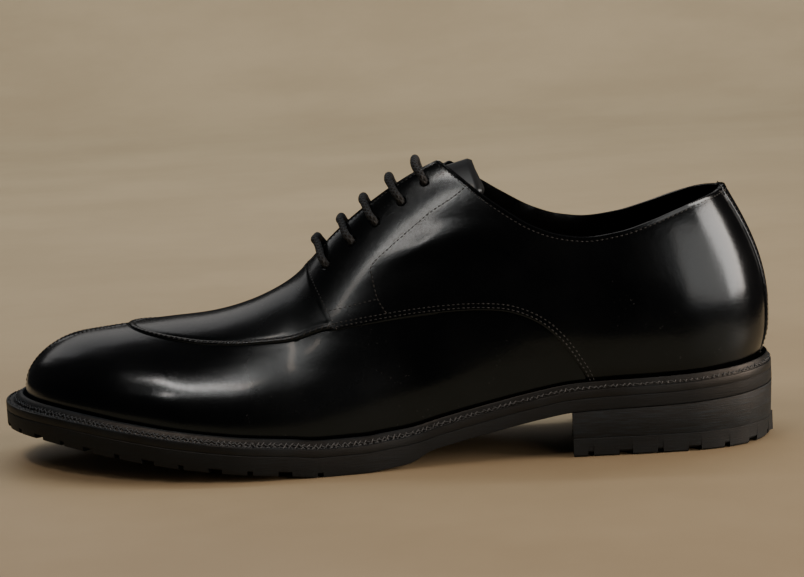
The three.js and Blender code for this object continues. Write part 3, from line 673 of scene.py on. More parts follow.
def rounded_rim(height, rim):
    """Heights that turn in over the edges, so the outside and the lining meet."""
    t = np.clip(1 - rim["any"] / RIM_ROUNDING, 0, 1)
    return RIM_DEPTH + (height - RIM_DEPTH) * np.sqrt(1 - t * t)


def rim_distances(points):
    top = np.minimum(
        distance_to(points, line_points([top_lines[OUTER]])),
        distance_to(points, line_points([top_lines[INNER]])),
    )
    holes = np.full(len(points), 99.0)
    for side in (OUTER, INNER):
        for centre in last_point(eyelets[side][:, 0], eyelets[side][:, 1]):
            holes = np.minimum(holes, np.abs(np.linalg.norm(points - centre, axis=1) - EYELET_RADIUS))
    foot_line = last_point(np.linspace(0, 2, 1400), 0.0)
    foot = distance_to(points, foot_line)
    nearest = np.minimum(np.minimum(top, foot), np.where(holes < 0.07, 0, holes * 2.2))
    return {"top": top, "any": np.where(nearest < 0.05, 0, nearest)}


# ---- The upper as one fine skin over a coarser lining ----

FLAT = np.array([330.0, 100.0])


def disc(centre, radius, count):
    """A ring of points round an eyelet, on the last."""
    place, climb = centre
    a, b = [slope[0] for slope in last_slopes(np.array([place]), np.array([climb]))]
    normal = unit(np.cross(a, b))
    one = unit(a)
    two = np.cross(normal, one)
    angle = np.linspace(0, 2 * math.pi, count, endpoint=False)
    moves = radius * (np.cos(angle)[:, None] * one + np.sin(angle)[:, None] * two)
    grid = np.array([[a @ a, a @ b], [a @ b, b @ b]])
    return np.array([place, climb]) + np.linalg.solve(grid, np.stack([moves @ a, moves @ b])).T


def skin(spacing, rows, hole_rings):
    """Triangles over the upper's part of the last: its edges, rows of points beside each line, and a fill."""
    coords, edges = [], []

    def add(curve, closed=False, joined=True):
        start = len(coords)
        coords.extend((curve * FLAT).tolist())
        if joined:
            edges.extend((start + i, start + i + 1) for i in range(len(curve) - 1))
            if closed:
                edges.append((start + len(curve) - 1, start))

    bottom = np.linspace(0, 1, int(330 / 1.4))
    crest = np.linspace(ribs_to_tip, 1, int((1 - ribs_to_tip) * 330 / 1.2))
    up = np.linspace(0, top_lines[OUTER][0, 1], 60)
    add(np.stack([bottom, np.zeros_like(bottom)], -1))
    add(np.stack([2 - bottom, np.zeros_like(bottom)], -1))
    add(np.stack([crest, np.ones_like(crest)], -1))
    add(np.stack([2 - crest, np.ones_like(crest)], -1))
    add(np.stack([np.zeros_like(up), up], -1))
    add(np.stack([np.full_like(up, 2), up], -1))
    add(top_lines[OUTER])
    add(top_lines[INNER])
    for side in (OUTER, INNER):
        for centre in eyelets[side]:
            for radius in hole_rings:
                add(disc(centre, radius, 20), closed=True)
    edge_marks = len(coords)
    for curve, reach, fineness in rows:
        row = beside(curve, reach)
        path = last_point(curve[:, 0], curve[:, 1])
        clear = distance_to(last_point(row[:, 0], row[:, 1]), path) > 0.9 * abs(reach) - 1e-3
        clear &= under_top(row[:, 0], row[:, 1]) * FLAT[1] > fineness
        clear &= (row[:, 1] * FLAT[1] > fineness) & (row[:, 0] > 0.0015) & (row[:, 0] < 1.9985)
        for centre in np.concatenate([eyelets[OUTER], eyelets[INNER]]):
            clear &= np.linalg.norm((row - centre) * FLAT, axis=1) > 3.2
        add(row[clear], joined=False)
    marks = KDTree(len(coords))
    for i, (x, y) in enumerate(coords):
        marks.insert((x, y, 0), i)
    marks.balance()
    across = np.arange(spacing, 2 * FLAT[0] - spacing / 2, spacing)
    fill = []
    for row, y in enumerate(np.arange(spacing * 0.8, FLAT[1] - spacing / 3, spacing * 0.866)):
        shifted = across + (spacing / 2 if row % 2 else 0)
        place = shifted / FLAT[0]
        on = under_top(place, np.full(len(place), y / FLAT[1])) * FLAT[1] > 0.5 * spacing
        for x in shifted[on & (shifted < 2 * FLAT[0] - spacing / 2)]:
            if marks.find((x, y, 0))[2] > 0.62 * spacing:
                fill.append((x, y))
    coords.extend(fill)
    verts, _, faces, _, _, _ = delaunay_2d_cdt([Vector(c) for c in coords], edges, [], 0, 1e-6, False)
    flat = np.array([(v.x, v.y) for v in verts]) / FLAT
    flat[:, 0] = np.clip(flat[:, 0], 0, 2)
    flat[:, 1] = np.clip(flat[:, 1], 0, 1)
    faces = np.array([list(face) for face in faces])
    middle = flat[faces].mean(1)
    use = under_top(middle[:, 0], middle[:, 1]) > 1e-6
    for side in (OUTER, INNER):
        for centre in eyelets[side]:
            use &= ~inside(middle * FLAT, disc(centre, EYELET_RADIUS, 20) * FLAT)
    return flat, faces[use]


def toward(curve, test):
    """The sign of a reach that moves a curve to where a test holds."""
    moved = beside(curve, 1.0)
    points = last_point(moved[:, 0], moved[:, 1])
    return 1 if test(moved, points).mean() > 0.5 else -1


def row_list():
    """Rows of points beside each line: the line, the reach and how near an edge they may come."""
    rows = []
    for side in (OUTER, INNER):
        on_quarter = lambda moved, points: inside(points[:, [0, 2]], quarter_plan)
        on_plug = lambda moved, points: inside(points[:, [0, 1]], plug_plan)
        on_upper = lambda moved, points: under_top(moved[:, 0], moved[:, 1]) > 0
        for line in (front_lines[side], lower_lines[side]):
            sign = toward(line, on_quarter)
            for reach in (-1.1, -0.45, -0.07, 0.04, 0.16, 0.5, 1.1):
                rows.append((stepped(line, 0.9), reach * sign, 0.25))
        sign = toward(plug_lines[side], on_plug)
        for reach in SEAM_RISE[0]:
            rows.append((stepped(plug_lines[side], 0.9), reach * sign, 0.25))
        for reach in (-0.8, -0.07, 0.04, 0.16, 0.5):
            rows.append((stepped(strip_lines[side], 1.0), reach, 0.25))
            rows.append((stepped(strip_lines[side], 1.0), -reach, 0.25))
        sign = toward(top_lines[side], on_upper)
        for reach in (0.12, 0.3, 0.6, 1.0, 1.4, 1.8, 2.6):
            rows.append((top_lines[side], reach * sign, 0.05))
        for reach in (0.14, 0.36, 0.75, 1.15, 1.9):
            rows.append((stepped(toe_drop, 0.9), reach * side, 0.25))
            crest = toe_crest if side == OUTER else np.array([2, 0]) + toe_crest * np.array([-1, 1])
            for sign in (-1, 1):
                rows.append((stepped(crest, 0.9), reach * sign, 0.05))
    return rows


def merged(layers):
    """Corners and faces of several layers, with the corners that meet joined."""
    corners = np.concatenate([layer[0] for layer in layers])
    shift = np.cumsum([0] + [len(layer[0]) for layer in layers[:-1]])
    faces = np.concatenate([layer[1] + start for layer, start in zip(layers, shift)])
    keys = np.round(corners / 2e-3).astype(np.int64)
    _, first, same = np.unique(keys, axis=0, return_index=True, return_inverse=True)
    faces = same.ravel()[faces]
    whole = (faces[:, 0] != faces[:, 1]) & (faces[:, 1] != faces[:, 2]) & (faces[:, 2] != faces[:, 0])
    faces = faces[whole]
    _, match, times = np.unique(np.sort(faces, axis=1), axis=0, return_inverse=True, return_counts=True)
    return corners[first], faces[times[match.ravel()] == 1]


def piece(name, corners, faces, finish, stands_for=(), sharp=None):
    """A finished mesh in the row frame that rides on the shoe."""
    mesh = bpy.data.meshes.new(name)
    placed = (np.asarray(corners, float) + ROW_SHIFT) * MM
    mesh.from_pydata(placed.tolist(), [], [list(map(int, face)) for face in faces])
    mesh.validate()
    mesh.shade_smooth()
    if sharp is not None:
        mesh.set_sharp_from_angle(angle=math.radians(sharp))
    made = bpy.data.objects.new(name, mesh)
    bpy.context.scene.collection.objects.link(made)
    mesh.materials.append(finish)
    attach(made, "root")
    if stands_for:
        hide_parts(*stands_for)
    return made


def make_upper(finish):
    flat, faces = skin(1.5, row_list(), (EYELET_RADIUS, EYELET_RADIUS + 0.12, EYELET_RADIUS + 0.32, EYELET_RADIUS + 0.9))
    points = last_point(flat[:, 0], flat[:, 1])
    rim = rim_distances(points)
    heights = outer_heights(flat[:, 0], flat[:, 1], points, rim)
    outside = shell_point(flat[:, 0], flat[:, 1], heights)
    lined, lining_faces = skin(4.5, [], (EYELET_RADIUS,))
    points = last_point(lined[:, 0], lined[:, 1])
    rim = rim_distances(points)
    lining = shell_point(lined[:, 0], lined[:, 1], rounded_rim(np.full(len(lined), -WALL_THICKNESS), rim))
    corners, faces = merged([(outside, faces[:, ::-1]), (lining, lining_faces)])
    return piece("upper_leather", corners, faces, finish, ["upper"], sharp=55)


# ---- Finishes ----

class Wire:
    """A socket's value, which can be used in a sum."""

    def __init__(self, finish, socket):
        self.finish, self.socket = finish, socket

    def __add__(self, other):
        return self.finish.math("ADD", self, other)

    def __sub__(self, other):
        return self.finish.math("SUBTRACT", self, other)

    def __rsub__(self, other):
        return self.finish.math("SUBTRACT", other, self)

    def __mul__(self, other):
        return self.finish.math("MULTIPLY", self, other)

    def __pow__(self, other):
        return self.finish.math("POWER", self, other)

    __radd__ = __add__
    __rmul__ = __mul__


class Finish:
    """A node material under construction."""

    def __init__(self, name):
        self.material = bpy.data.materials.new(name)
        self.material.use_nodes = True
        self.tree = self.material.node_tree
        self.tree.nodes.clear()

    def node(self, kind, settings=None, output=0, **links):
        made = self.tree.nodes.new(kind)
        for name, value in (settings or {}).items():
            if name == "stops":
                ramp = made.color_ramp
                for i, (at, shade) in enumerate(value):
                    stop = ramp.elements[i] if i < 2 else ramp.elements.new(at)
                    stop.position = at
                    stop.color = (*shade, 1)
            else:
                setattr(made, name, value)
        for name, value in links.items():
            socket = made.inputs[int(name[1:])] if name[0] == "i" and name[1:].isdigit() else made.inputs[name]
            self.feed(value, socket)
        return Wire(self, made.outputs[output])

    def feed(self, value, socket):
        if isinstance(value, Wire):
            self.tree.links.new(value.socket, socket)
        else:
            socket.default_value = value

    def math(self, operation, *values):
        made = self.tree.nodes.new("ShaderNodeMath")
        made.operation = operation
        for value, socket in zip(values, made.inputs):
            self.feed(value, socket)
        return Wire(self, made.outputs[0])

    def place(self, stretch=(1, 1, 1), turn=(0, 0, 0)):
        """Object coordinates, stretched and turned."""
        where = self.node("ShaderNodeTexCoord", output="Object")
        return self.node("ShaderNodeMapping", Vector=where, Scale=stretch, Rotation=turn)

    def noise(self, where, scale, detail=2.0, rough=0.5):
        return self.node("ShaderNodeTexNoise", Vector=where, Scale=scale, Detail=detail, Roughness=rough)

    def between(self, value, low, high, into_low=0.0, into_high=1.0):
        """A value's range read as another range, with soft ends."""
        made = self.tree.nodes.new("ShaderNodeMapRange")
        made.interpolation_type = "SMOOTHSTEP"
        for name, entry in (("Value", value), ("From Min", low), ("From Max", high),
                            ("To Min", into_low), ("To Max", into_high)):
            self.feed(entry, made.inputs[name])
        return Wire(self, made.outputs["Result"])

    def blend(self, share, one, other):
        """A colour between two."""
        made = self.tree.nodes.new("ShaderNodeMix")
        made.data_type = "RGBA"
        self.feed(share, made.inputs[0])
        self.feed(one, made.inputs[6])
        self.feed(other, made.inputs[7])
        return Wire(self, made.outputs[2])

    def bump(self, height, depth, below=None):
        """A normal raised by a height, in metres of depth."""
        made = self.tree.nodes.new("ShaderNodeBump")
        made.inputs["Strength"].default_value = 1
        made.inputs["Distance"].default_value = depth
        self.feed(height, made.inputs["Height"])
        if below is not None:
            self.feed(below, made.inputs["Normal"])
        return Wire(self, made.outputs[0])

    def surface(self, **inputs):
        """The shader that the finish ends in."""
        shader = self.tree.nodes.new("ShaderNodeBsdfPrincipled")
        for name, value in inputs.items():
            self.feed(value, shader.inputs[name.replace("_", " ")])
        end = self.tree.nodes.new("ShaderNodeOutputMaterial")
        self.tree.links.new(shader.outputs[0], end.inputs[0])
        return self.material


def grey(value, warmth=0.0):
    return (value * (0.88 + warmth), value * 0.97, value * (1.1 - warmth), 1)


WORN_PLACE = (-0.026, -0.036, 0.047)


def polished_leather(name, shade=0.0014, gloss=0.13, coat=0.06):
    """Smooth black calf: fine pores, faint cloudiness and a few light scuffs under the polish."""
    made = Finish(name)
    where = made.place()
    pores = made.node("ShaderNodeTexVoronoi", {"feature": "F1"}, Vector=where, Scale=1900)
    fine = made.noise(where, 850, 3, 0.6)
    cloud = made.noise(where, 46, 4, 0.55)
    reach = made.node("ShaderNodeVectorMath", {"operation": "DISTANCE"}, output="Value", i0=where, i1=WORN_PLACE)
    worn = made.between(reach, 0.05, 0.0)
    scuff_run = made.noise(made.place((1, 1, 5), (0.2, 0.5, 0.1)), 150, 5, 0.7)
    scuffs = made.between(scuff_run, 0.62, 0.8) * made.between(made.noise(where, 24, 2), 0.5, 0.66)
    gentle = made.bump(cloud, 0.00018)
    grain = made.bump(made.between(pores, 0, 0.45) * 0.5 + fine * 0.9, 0.000026, gentle)
    colour = made.blend(made.between(cloud, 0.3, 0.75), grey(shade * 0.7), grey(shade * 1.6, 0.02))
    colour = made.blend(scuffs * 0.1, colour, grey(0.03, 0.02))
    dust = made.between(made.noise(where, 1500, 0), 0.8, 0.83) * made.between(made.noise(where, 35), 0.5, 0.62)
    colour = made.blend(dust * 0.4, colour, grey(0.06))
    return made.surface(
        Base_Color=colour,
        Roughness=gloss + cloud * 0.08 + scuffs * 0.16 + fine * 0.03 + worn * 0.16,
        Normal=grain,
        Coat_Weight=coat,
        Coat_Roughness=0.1,
        Coat_IOR=1.5,
        IOR=1.5,
        Specular_Tint=(0.6, 0.79, 1.0, 1),
    )


def sole_rubber(name, shade=0.0056):
    """Matt black rubber with fine lines from the trimming wheel along the edge."""
    made = Finish(name)
    lines = made.noise(made.place((1, 1, 24)), 120, 4, 0.65)
    grit = made.noise(made.place(), 1500, 2, 0.5)
    cloud = made.noise(made.place((1, 1, 2)), 40, 3, 0.5)
    raised = made.bump(lines, 0.00012, made.bump(grit, 0.00002))
    pale = made.between(lines * 0.6 + cloud * 0.4, 0.38, 0.66)
    colour = made.blend(pale, grey(shade * 0.7, -0.42), grey(shade * 1.5, -0.42))
    return made.surface(Base_Color=colour, Roughness=0.52 + lines * 0.22, Normal=raised, IOR=1.38)


def edge_leather(name, shade=0.0055):
    """Dyed and waxed edge leather."""
    made = Finish(name)
    fibre = made.noise(made.place((1, 1, 10)), 260, 4, 0.65)
    cloud = made.noise(made.place(), 60, 3, 0.5)
    raised = made.bump(fibre, 0.0001)
    colour = made.blend(made.between(cloud, 0.35, 0.7), grey(shade * 0.6, -0.35), grey(shade * 1.5, -0.35))
    return made.surface(Base_Color=colour, Roughness=0.36 + fibre * 0.25, Normal=raised, IOR=1.4)


def stacked_heel(name, shade=0.0082):
    """Lifts of dyed leather board, brushed along their edges."""
    made = Finish(name)
    lines = made.noise(made.place((1, 1, 26)), 110, 4, 0.65)
    raised = made.bump(lines, 0.00014)
    colour = made.blend(made.between(lines, 0.42, 0.72), grey(shade * 0.6, -0.4), grey(shade * 2.3, -0.4))
    return made.surface(Base_Color=colour, Roughness=0.5 + lines * 0.25, Normal=raised, IOR=1.38)


def sock_leather(name, shade=0.02):
    """Unpolished leather that lines the shoe."""
    made = Finish(name)
    fine = made.noise(made.place(), 900, 4, 0.6)
    cloud = made.noise(made.place(), 70, 3, 0.5)
    colour = made.blend(made.between(cloud, 0.3, 0.7), grey(shade * 0.6), grey(shade * 1.3, 0.04))
    return made.surface(
        Base_Color=colour, Roughness=0.6 + fine * 0.2, Normal=made.bump(fine, 0.00005), IOR=1.45,
    )


def waxed_cord(name, shade=0.013):
    """Braided cotton cord: two families of threads that cross along its length, with painted shade in the grooves
    between them and painted highlight on their crowns.
    """
    made = Finish(name)
    uv = made.node("ShaderNodeTexCoord", output="UV")
    split = made.tree.nodes.new("ShaderNodeSeparateXYZ")
    made.tree.links.new(uv.socket, split.inputs[0])
    around, run = Wire(made, split.outputs[0]), Wire(made, split.outputs[1])
    one = made.math("SINE", (around * 5 + run * 1.4) * 2 * math.pi)
    two = made.math("SINE", (around * 5 - run * 1.4) * 2 * math.pi)
    braid = made.math("MAXIMUM", one, two)
    fuzz = made.noise(made.place(), 1800, 3, 0.6)
    # Colour from the braid's height: painted shade in the grooves and painted highlight on the thread crowns; the fuzz
    # adds tone that differs at random.
    pale = made.between(braid * 0.5 + fuzz * 0.6, 0.2, 0.9)
    colour = made.blend(pale, grey(shade * 0.3, -0.2), grey(shade * 1.6, -0.2))
    return made.surface(
        Base_Color=colour, Roughness=0.62 + fuzz * 0.2, Normal=made.bump(braid + fuzz, 0.00016), IOR=1.45,
    )


def sewing_thread(name, shade):
    made = Finish(name)
    twist = made.noise(made.place(), 2600, 2, 0.5)
    colour = made.blend(made.between(twist, 0.35, 0.65), grey(shade * 0.6, -0.15), grey(shade * 1.4, -0.15))
    return made.surface(Base_Color=colour, Roughness=0.5 + twist * 0.2, Normal=made.bump(twist, 0.00006))


leather = polished_leather("polished calf")
tongue_leather = polished_leather("tongue calf", 0.012, 0.36, 0.05)
rubber = sole_rubber("trimmed rubber")
top_rubber = sole_rubber("top piece rubber", 0.0066)
welt_leather = edge_leather("welt leather")
heel_stack = stacked_heel("stacked heel")
sock = sock_leather("sock leather")
cord = waxed_cord("waxed cord")
thread = sewing_thread("upper thread", 0.013)
dark_thread = sewing_thread("dark thread", 0.006)
welt_thread = sewing_thread("welt thread", 0.028)

make_upper(leather)


# ---- Sole, heel and welt ----

SOLE_TURNS = 260


def notch_spans(start, end, lead, side):
    """Turns where the tread's edge is cut, narrow and wide by turns."""
    turn = np.linspace(start, end, 6000)
    edge = outline_point(turn, side)
    walked = np.concatenate([[0], np.cumsum(np.linalg.norm(np.diff(edge, axis=0), axis=1))])
    spans, middle, number = [], lead, 0
    while middle < walked[-1]:
        half = (WIDE_NOTCH if number % 2 else NARROW_NOTCH) / 2
        spans.append(tuple(np.interp([middle - half, middle + half], walked, turn)))
        middle += LUG_PITCH
        number += 1
    return spans


def notched_turns(start, end, spans):
    """Even turns, with a pair of close ones at each wall of a notch."""
    even = np.linspace(start, end, SOLE_TURNS)
    walls = [wall + shift for span in spans for wall in span for shift in (-4e-5, 4e-5)]
    walls = [wall for wall in walls if start < wall < end]
    even = even[np.min(np.abs(even[:, None] - np.array(walls)[None, :]), axis=1) > 5e-4]
    return np.unique(np.concatenate([even, [start, end], walls]))


def is_cut(turn, spans):
    return np.any([(turn > low) & (turn < high) for low, high in spans], axis=0)


def slab(turns, corners_of):
    """Closed body through sections across the sole: the outer corners, then the inner ones back."""
    sections = np.concatenate([corners_of(turns, OUTER), corners_of(turns, INNER)[:, ::-1]], axis=1)
    count = sections.shape[1]
    faces = []
    for i in range(len(turns) - 1):
        for j in range(count):
            k = (j + 1) % count
            a, b, c, d = i * count + j, i * count + k, (i + 1) * count + k, (i + 1) * count + j
            faces += [(a, b, c), (a, c, d)]
    last = (len(turns) - 1) * count
    faces += [(0, j + 1, j) for j in range(1, count - 1)]
    faces += [(last, last + j, last + j + 1) for j in range(1, count - 1)]
    return merged([(sections.reshape(-1, 3), np.array(faces))])


def corner(turn, side, inset, height):
    flat = outline_point(turn, side, inset)
    return np.concatenate([flat, np.broadcast_to(height, turn.shape)[:, None]], axis=1)


def make_outsole(finish):
    start = float(angle_of(0.5))
    spans = {side: notch_spans(start, 1, FOREFOOT_LEAD, side) for side in (OUTER, INNER)}
    turns = notched_turns(0, 1, spans[OUTER] + spans[INNER])

    def corners(turn, side):
        along = along_of(turn)
        at = lambda inset: along_at(outline_point(turn, side, inset)[:, 0])
        half = BALL_WIDTH * outline_half(turn)
        cut = NOTCH_DEPTH * is_cut(turn, spans[side])
        recess = NOTCH_DEPTH * smoothstep(along, 0.47, 0.5) * (1 - smoothstep(along, 0.94, 0.955))
        reach = np.minimum(NOTCH_REACH, 0.8 * half)
        bevel = np.minimum(SOLE_BEVEL, 0.5 * half)
        top = outsole_top(at(0))
        stack = [
            corner(turn, side, np.minimum(reach + 1, 0.9 * half), tread_height(at(reach)) + recess),
            corner(turn, side, reach, tread_height(at(reach)) + np.maximum(cut, 0)),
            corner(turn, side, bevel, tread_height(at(bevel)) + cut),
            corner(turn, side, bevel * 0.3, tread_height(at(0)) + SOLE_BEVEL * 0.3 + cut),
            corner(turn, side, 0 * bevel, tread_height(at(0)) + SOLE_BEVEL + cut),
            corner(turn, side, 0 * bevel, top - 0.5),
            corner(turn, side, bevel * 0.5, top),
        ]
        return np.stack(stack, axis=1)

    corners_made, faces = slab(turns, corners)
    return piece("outsole_rubber", corners_made, faces, finish, ["outsole"], sharp=35)


heel_turn = float(angle_of(HEEL_LENGTH / SOLE_LENGTH))
taper_at_top_piece = HEEL_TAPER * (1 - TOP_PIECE_THICKNESS / HEEL_HEIGHT)


def make_heel_block(finish):
    turns = np.linspace(0, heel_turn, 90)

    def corners(turn, side):
        top = tread_height(along_of(turn)) - 0.04
        half = BALL_WIDTH * outline_half(turn)
        stack = []
        for share, inward in ((0, 0.12), (0.02, 0), (0.99, 0), (1, 0.06)):
            level = TOP_PIECE_THICKNESS + (top - TOP_PIECE_THICKNESS) * share
            inset = taper_at_top_piece * (1 - share) + inward
            stack.append(corner(turn, side, inset, level))
        return np.stack(stack, axis=1)

    corners_made, faces = slab(turns, corners)
    return piece("stacked_heel", corners_made, faces, finish, ["heel_block"], sharp=35)


def make_top_piece(finish):
    spans = {side: notch_spans(0, heel_turn, HEEL_LEAD, side) for side in (OUTER, INNER)}
    turns = notched_turns(0, heel_turn, spans[OUTER] + spans[INNER])

    def corners(turn, side):
        half = BALL_WIDTH * outline_half(turn)
        cut = NOTCH_DEPTH * is_cut(turn, spans[side])
        reach = np.minimum(NOTCH_REACH, 0.8 * half)
        inset = lambda value: np.minimum(value, 0.6 * half)
        stack = [
            corner(turn, side, np.minimum(reach + 1, 0.9 * half), NOTCH_DEPTH * smoothstep(half, 8, 14)),
            corner(turn, side, reach, cut),
            corner(turn, side, inset(HEEL_TAPER + SOLE_BEVEL), cut),
            corner(turn, side, inset(HEEL_TAPER), cut + SOLE_BEVEL),
            corner(turn, side, inset(taper_at_top_piece), 0 * cut + TOP_PIECE_THICKNESS - 0.35),
            corner(turn, side, inset(taper_at_top_piece + 0.3), 0 * cut + TOP_PIECE_THICKNESS),
        ]
        return np.stack(stack, axis=1)

    corners_made, faces = slab(turns, corners)
    return piece("heel_top_piece_rubber", corners_made, faces, finish, ["heel_top_piece"], sharp=35)


def ring_place(place):
    """Turn and side of a place on the ring."""
    place = np.mod(place, 2)
    return 1 - np.abs(1 - place), np.where(place <= 1, OUTER, INNER)


def welt_room(place):
    """How far in from the outline the welt may reach before it meets the upper."""
    turn, side = ring_place(place)
    reach = welt_reach(along_of(turn))
    foot = last_point(place, 0.0)
    ridge_top = WELT_THICKNESS + STORM_RIDGE_HEIGHT
    climb = first_where(
        lambda t: shell_point(place, t, np.full(len(place), QUARTER_STEP))[:, 2] - foot[:, 2] - ridge_top,
        np.zeros(len(place)), np.full(len(place), 0.5),
    )
    wall = shell_point(place, climb, np.full(len(place), QUARTER_STEP + 0.2))
    lean = np.linalg.norm((wall - foot)[:, :2], axis=1)
    return reach, reach - lean - FIT


def make_welt(finish):
    place = np.linspace(0, 2, 561)[:-1]
    turn, side = ring_place(place)
    reach, ridge = welt_room(place)
    slope = np.minimum(STORM_RIDGE_WIDTH, ridge / 3)
    top = WELT_THICKNESS + STORM_RIDGE_HEIGHT
    profile = [
        (0.05 + 0 * ridge, -0.06), (0 * ridge, 0.05),
        (0 * ridge, WELT_THICKNESS - 0.5), (0.15 + 0 * ridge, WELT_THICKNESS - 0.12), (0.5 + 0 * ridge, WELT_THICKNESS),
        (ridge - 2.3 * slope, WELT_THICKNESS + 0.05), (ridge - 2 * slope, WELT_THICKNESS - 0.25),
        (ridge - 1.75 * slope, WELT_THICKNESS + 0.2), (ridge - 1.45 * slope, WELT_THICKNESS + 1.3),
        (ridge - slope, top - 0.5), (ridge - 0.7 * slope, top - 0.08), (ridge - 0.4 * slope, top + 0.08),
        (ridge - 0.12 * slope, top - 0.1), (ridge, top - 0.6),
        (reach - FIT, 0.1),
    ]
    corners = []
    for inset, rise_by in profile:
        inset = np.maximum(inset, 0)
        flat = outline_point(turn, side, inset)
        level = outsole_top(along_at(flat[:, 0])) + FIT * 0.3 + rise_by
        corners.append(np.concatenate([flat, level[:, None]], axis=1))
    sections = np.stack(corners, axis=1)
    sections = softened(sections, 0.004)
    count, rings = sections.shape[1], len(place)
    faces = []
    for i in range(rings):
        for j in range(count):
            k, n = (j + 1) % count, (i + 1) % rings
            a, b, c, d = i * count + j, i * count + k, n * count + k, n * count + j
            faces += [(a, c, b), (a, d, c)]
    return piece("storm_welt", sections.reshape(-1, 3), np.array(faces), finish, ["welt"], sharp=50)


make_outsole(rubber)
make_heel_block(heel_stack)
make_top_piece(top_rubber)
make_welt(welt_leather)


def finish_node(name, finish):
    """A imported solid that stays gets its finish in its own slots."""
    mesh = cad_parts[name].data
    mesh.materials.clear()
    mesh.materials.append(finish)


finish_node("insole", sock)


# ---- Tongue ----

def make_tongue(finish):
    width, sag = curve_of(TONGUE, 1), curve_of(TONGUE, 2)
    steps, strips = 56, 40
    step = np.linspace(0, 1, steps)[:, None]
    part = np.linspace(-1, 1, strips + 1)[None, :]
    step, part = np.broadcast_arrays(step, part)
    along = TONGUE[0][0] + (TONGUE[-1][0] - TONGUE[0][0]) * step
    corner_round = 2.0 * (1 - np.sqrt(np.clip(1 - np.clip((np.abs(part) - 0.82) / 0.18, 0, 1) ** 2, 0, 1)))
    along = along + corner_round / SOLE_LENGTH * (1 - smoothstep(step, 0, 0.12))
    turn = angle_of(along - (1 - step) * np.abs(part) * (TONGUE_SLANT / SOLE_LENGTH))
    place = np.where(part < 0, turn, 2 - turn).ravel()
    reach = (np.abs(part) * width(along) * TONGUE_WIDTH / 2).ravel()
    depth = (WALL_THICKNESS + FIT + INSTEP_HEIGHT * sag(along)).ravel()
    rim = np.minimum(1 - np.abs(part), 1.0) * TONGUE_WIDTH / 2
    rim = np.minimum(rim, step * (TONGUE[-1][0] - TONGUE[0][0]) * SOLE_LENGTH).ravel()
    swell = np.sqrt(np.clip(1 - (1 - np.clip(rim / 0.4, 0, 1)) ** 2, 0, 1)) * TONGUE_THICKNESS / 2

    def sheet(outward):
        sink = depth + TONGUE_THICKNESS / 2 - outward * swell
        middle = shell_point(place, np.ones(len(place)), -sink)

        def apart(climb):
            return reach - np.linalg.norm(shell_point(place, climb, -sink) - middle, axis=1)

        climb = first_where(apart, np.zeros(len(place)), np.ones(len(place)))
        climb = np.where(reach == 0, 1, climb)
        return shell_point(place, climb, -sink)

    faces = []
    row = strips + 1
    for i in range(steps - 1):
        for j in range(strips):
            a, b, c, d = i * row + j, i * row + j + 1, (i + 1) * row + j + 1, (i + 1) * row + j
            faces += [(a, c, b), (a, d, c)]
    faces = np.array(faces)
    upper_sheet, lower_sheet = sheet(1), sheet(-1)
    end = [((steps - 1) * row + j, (steps - 1) * row + j + 1) for j in range(strips)]
    shift = steps * row
    closing = [face for a, b in end for face in ((a, b, b + shift), (a, b + shift, a + shift))]
    corners = np.concatenate([upper_sheet, lower_sheet])
    every = np.concatenate([faces, faces[:, ::-1] + shift, np.array(closing)])
    joined = merged([(corners, every)])
    return piece("tongue_leather", joined[0], joined[1], finish, ["tongue"], sharp=60)


make_tongue(tongue_leather)


# ---- Lace ----

def catmull(stops, count):
    """A soft curve through stops in space, evenly stepped."""
    return smooth_path(stops, count)


def tube(path, up, half_width, half_height, sides=14):
    """A closed tube along a path, wider than high where it lies flat, with its pattern's map."""
    way = unit(np.gradient(path, axis=0))
    across = unit(np.cross(way, up))
    lift = np.cross(across, way)
    angle = np.linspace(0, 2 * math.pi, sides, endpoint=False)
    ring_corners = (
        path[:, None, :]
        + half_width[:, None, None] * np.cos(angle)[None, :, None] * across[:, None, :]
        + half_height[:, None, None] * np.sin(angle)[None, :, None] * lift[:, None, :]
    )
    count = len(path)
    faces = []
    for i in range(count - 1):
        for j in range(sides):
            k = (j + 1) % sides
            faces.append((i * sides + j, i * sides + k, (i + 1) * sides + k, (i + 1) * sides + j))
    faces.append(tuple(range(sides)))
    faces.append(tuple((count - 1) * sides + j for j in reversed(range(sides))))
    walked = np.concatenate([[0], np.cumsum(np.linalg.norm(np.diff(path, axis=0), axis=1))])
    return ring_corners.reshape(-1, 3), faces, walked


def bar_stops(row):
    """Stops of a bar from the outer eyelet over both facings to the inner one: place, reach and offset."""
    along, out, bow, lift = row
    eyelet = EYELET_REACH * out
    over = QUARTER_STEP + LACE_DIAMETER / 2 - 0.15
    lifted = over + LACE_DIAMETER * lift + 0.4
    stops = [
        (eyelet + 0.5, -3.0, 0), (eyelet + 0.35, -1.2, 0), (eyelet, 1.0, 0.02), (eyelet - 1.1, over - 0.35, 0.1),
        (eyelet - 3.2, over + 0.1, 0.3), (THROAT_GAP / 2 + 1.5, (over + lifted) / 2 + 0.1, 0.72),
        (THROAT_GAP / 2 - 1, lifted, 0.88), (THROAT_GAP / 6, lifted - LACE_SAG, 1),
    ]
    halves = []
    for side in (OUTER, INNER):
        points, ups = [], []
        for reach, offset, bowed in stops:
            turn = float(angle_of(along + bowed * bow * LACE_DIAMETER / SOLE_LENGTH))
            place = np.array([turn if side == OUTER else 2 - turn])
            climb = climb_beside(place, np.array([reach]))
            points.append(shell_point(place, climb, np.array([offset]))[0])
            ups.append(NORMAL_SIGN * last_normal(place, climb)[0])
        halves.append((points, ups))
    (outer, outer_up), (inner, inner_up) = halves
    return outer + inner[::-1], outer_up + inner_up[::-1]


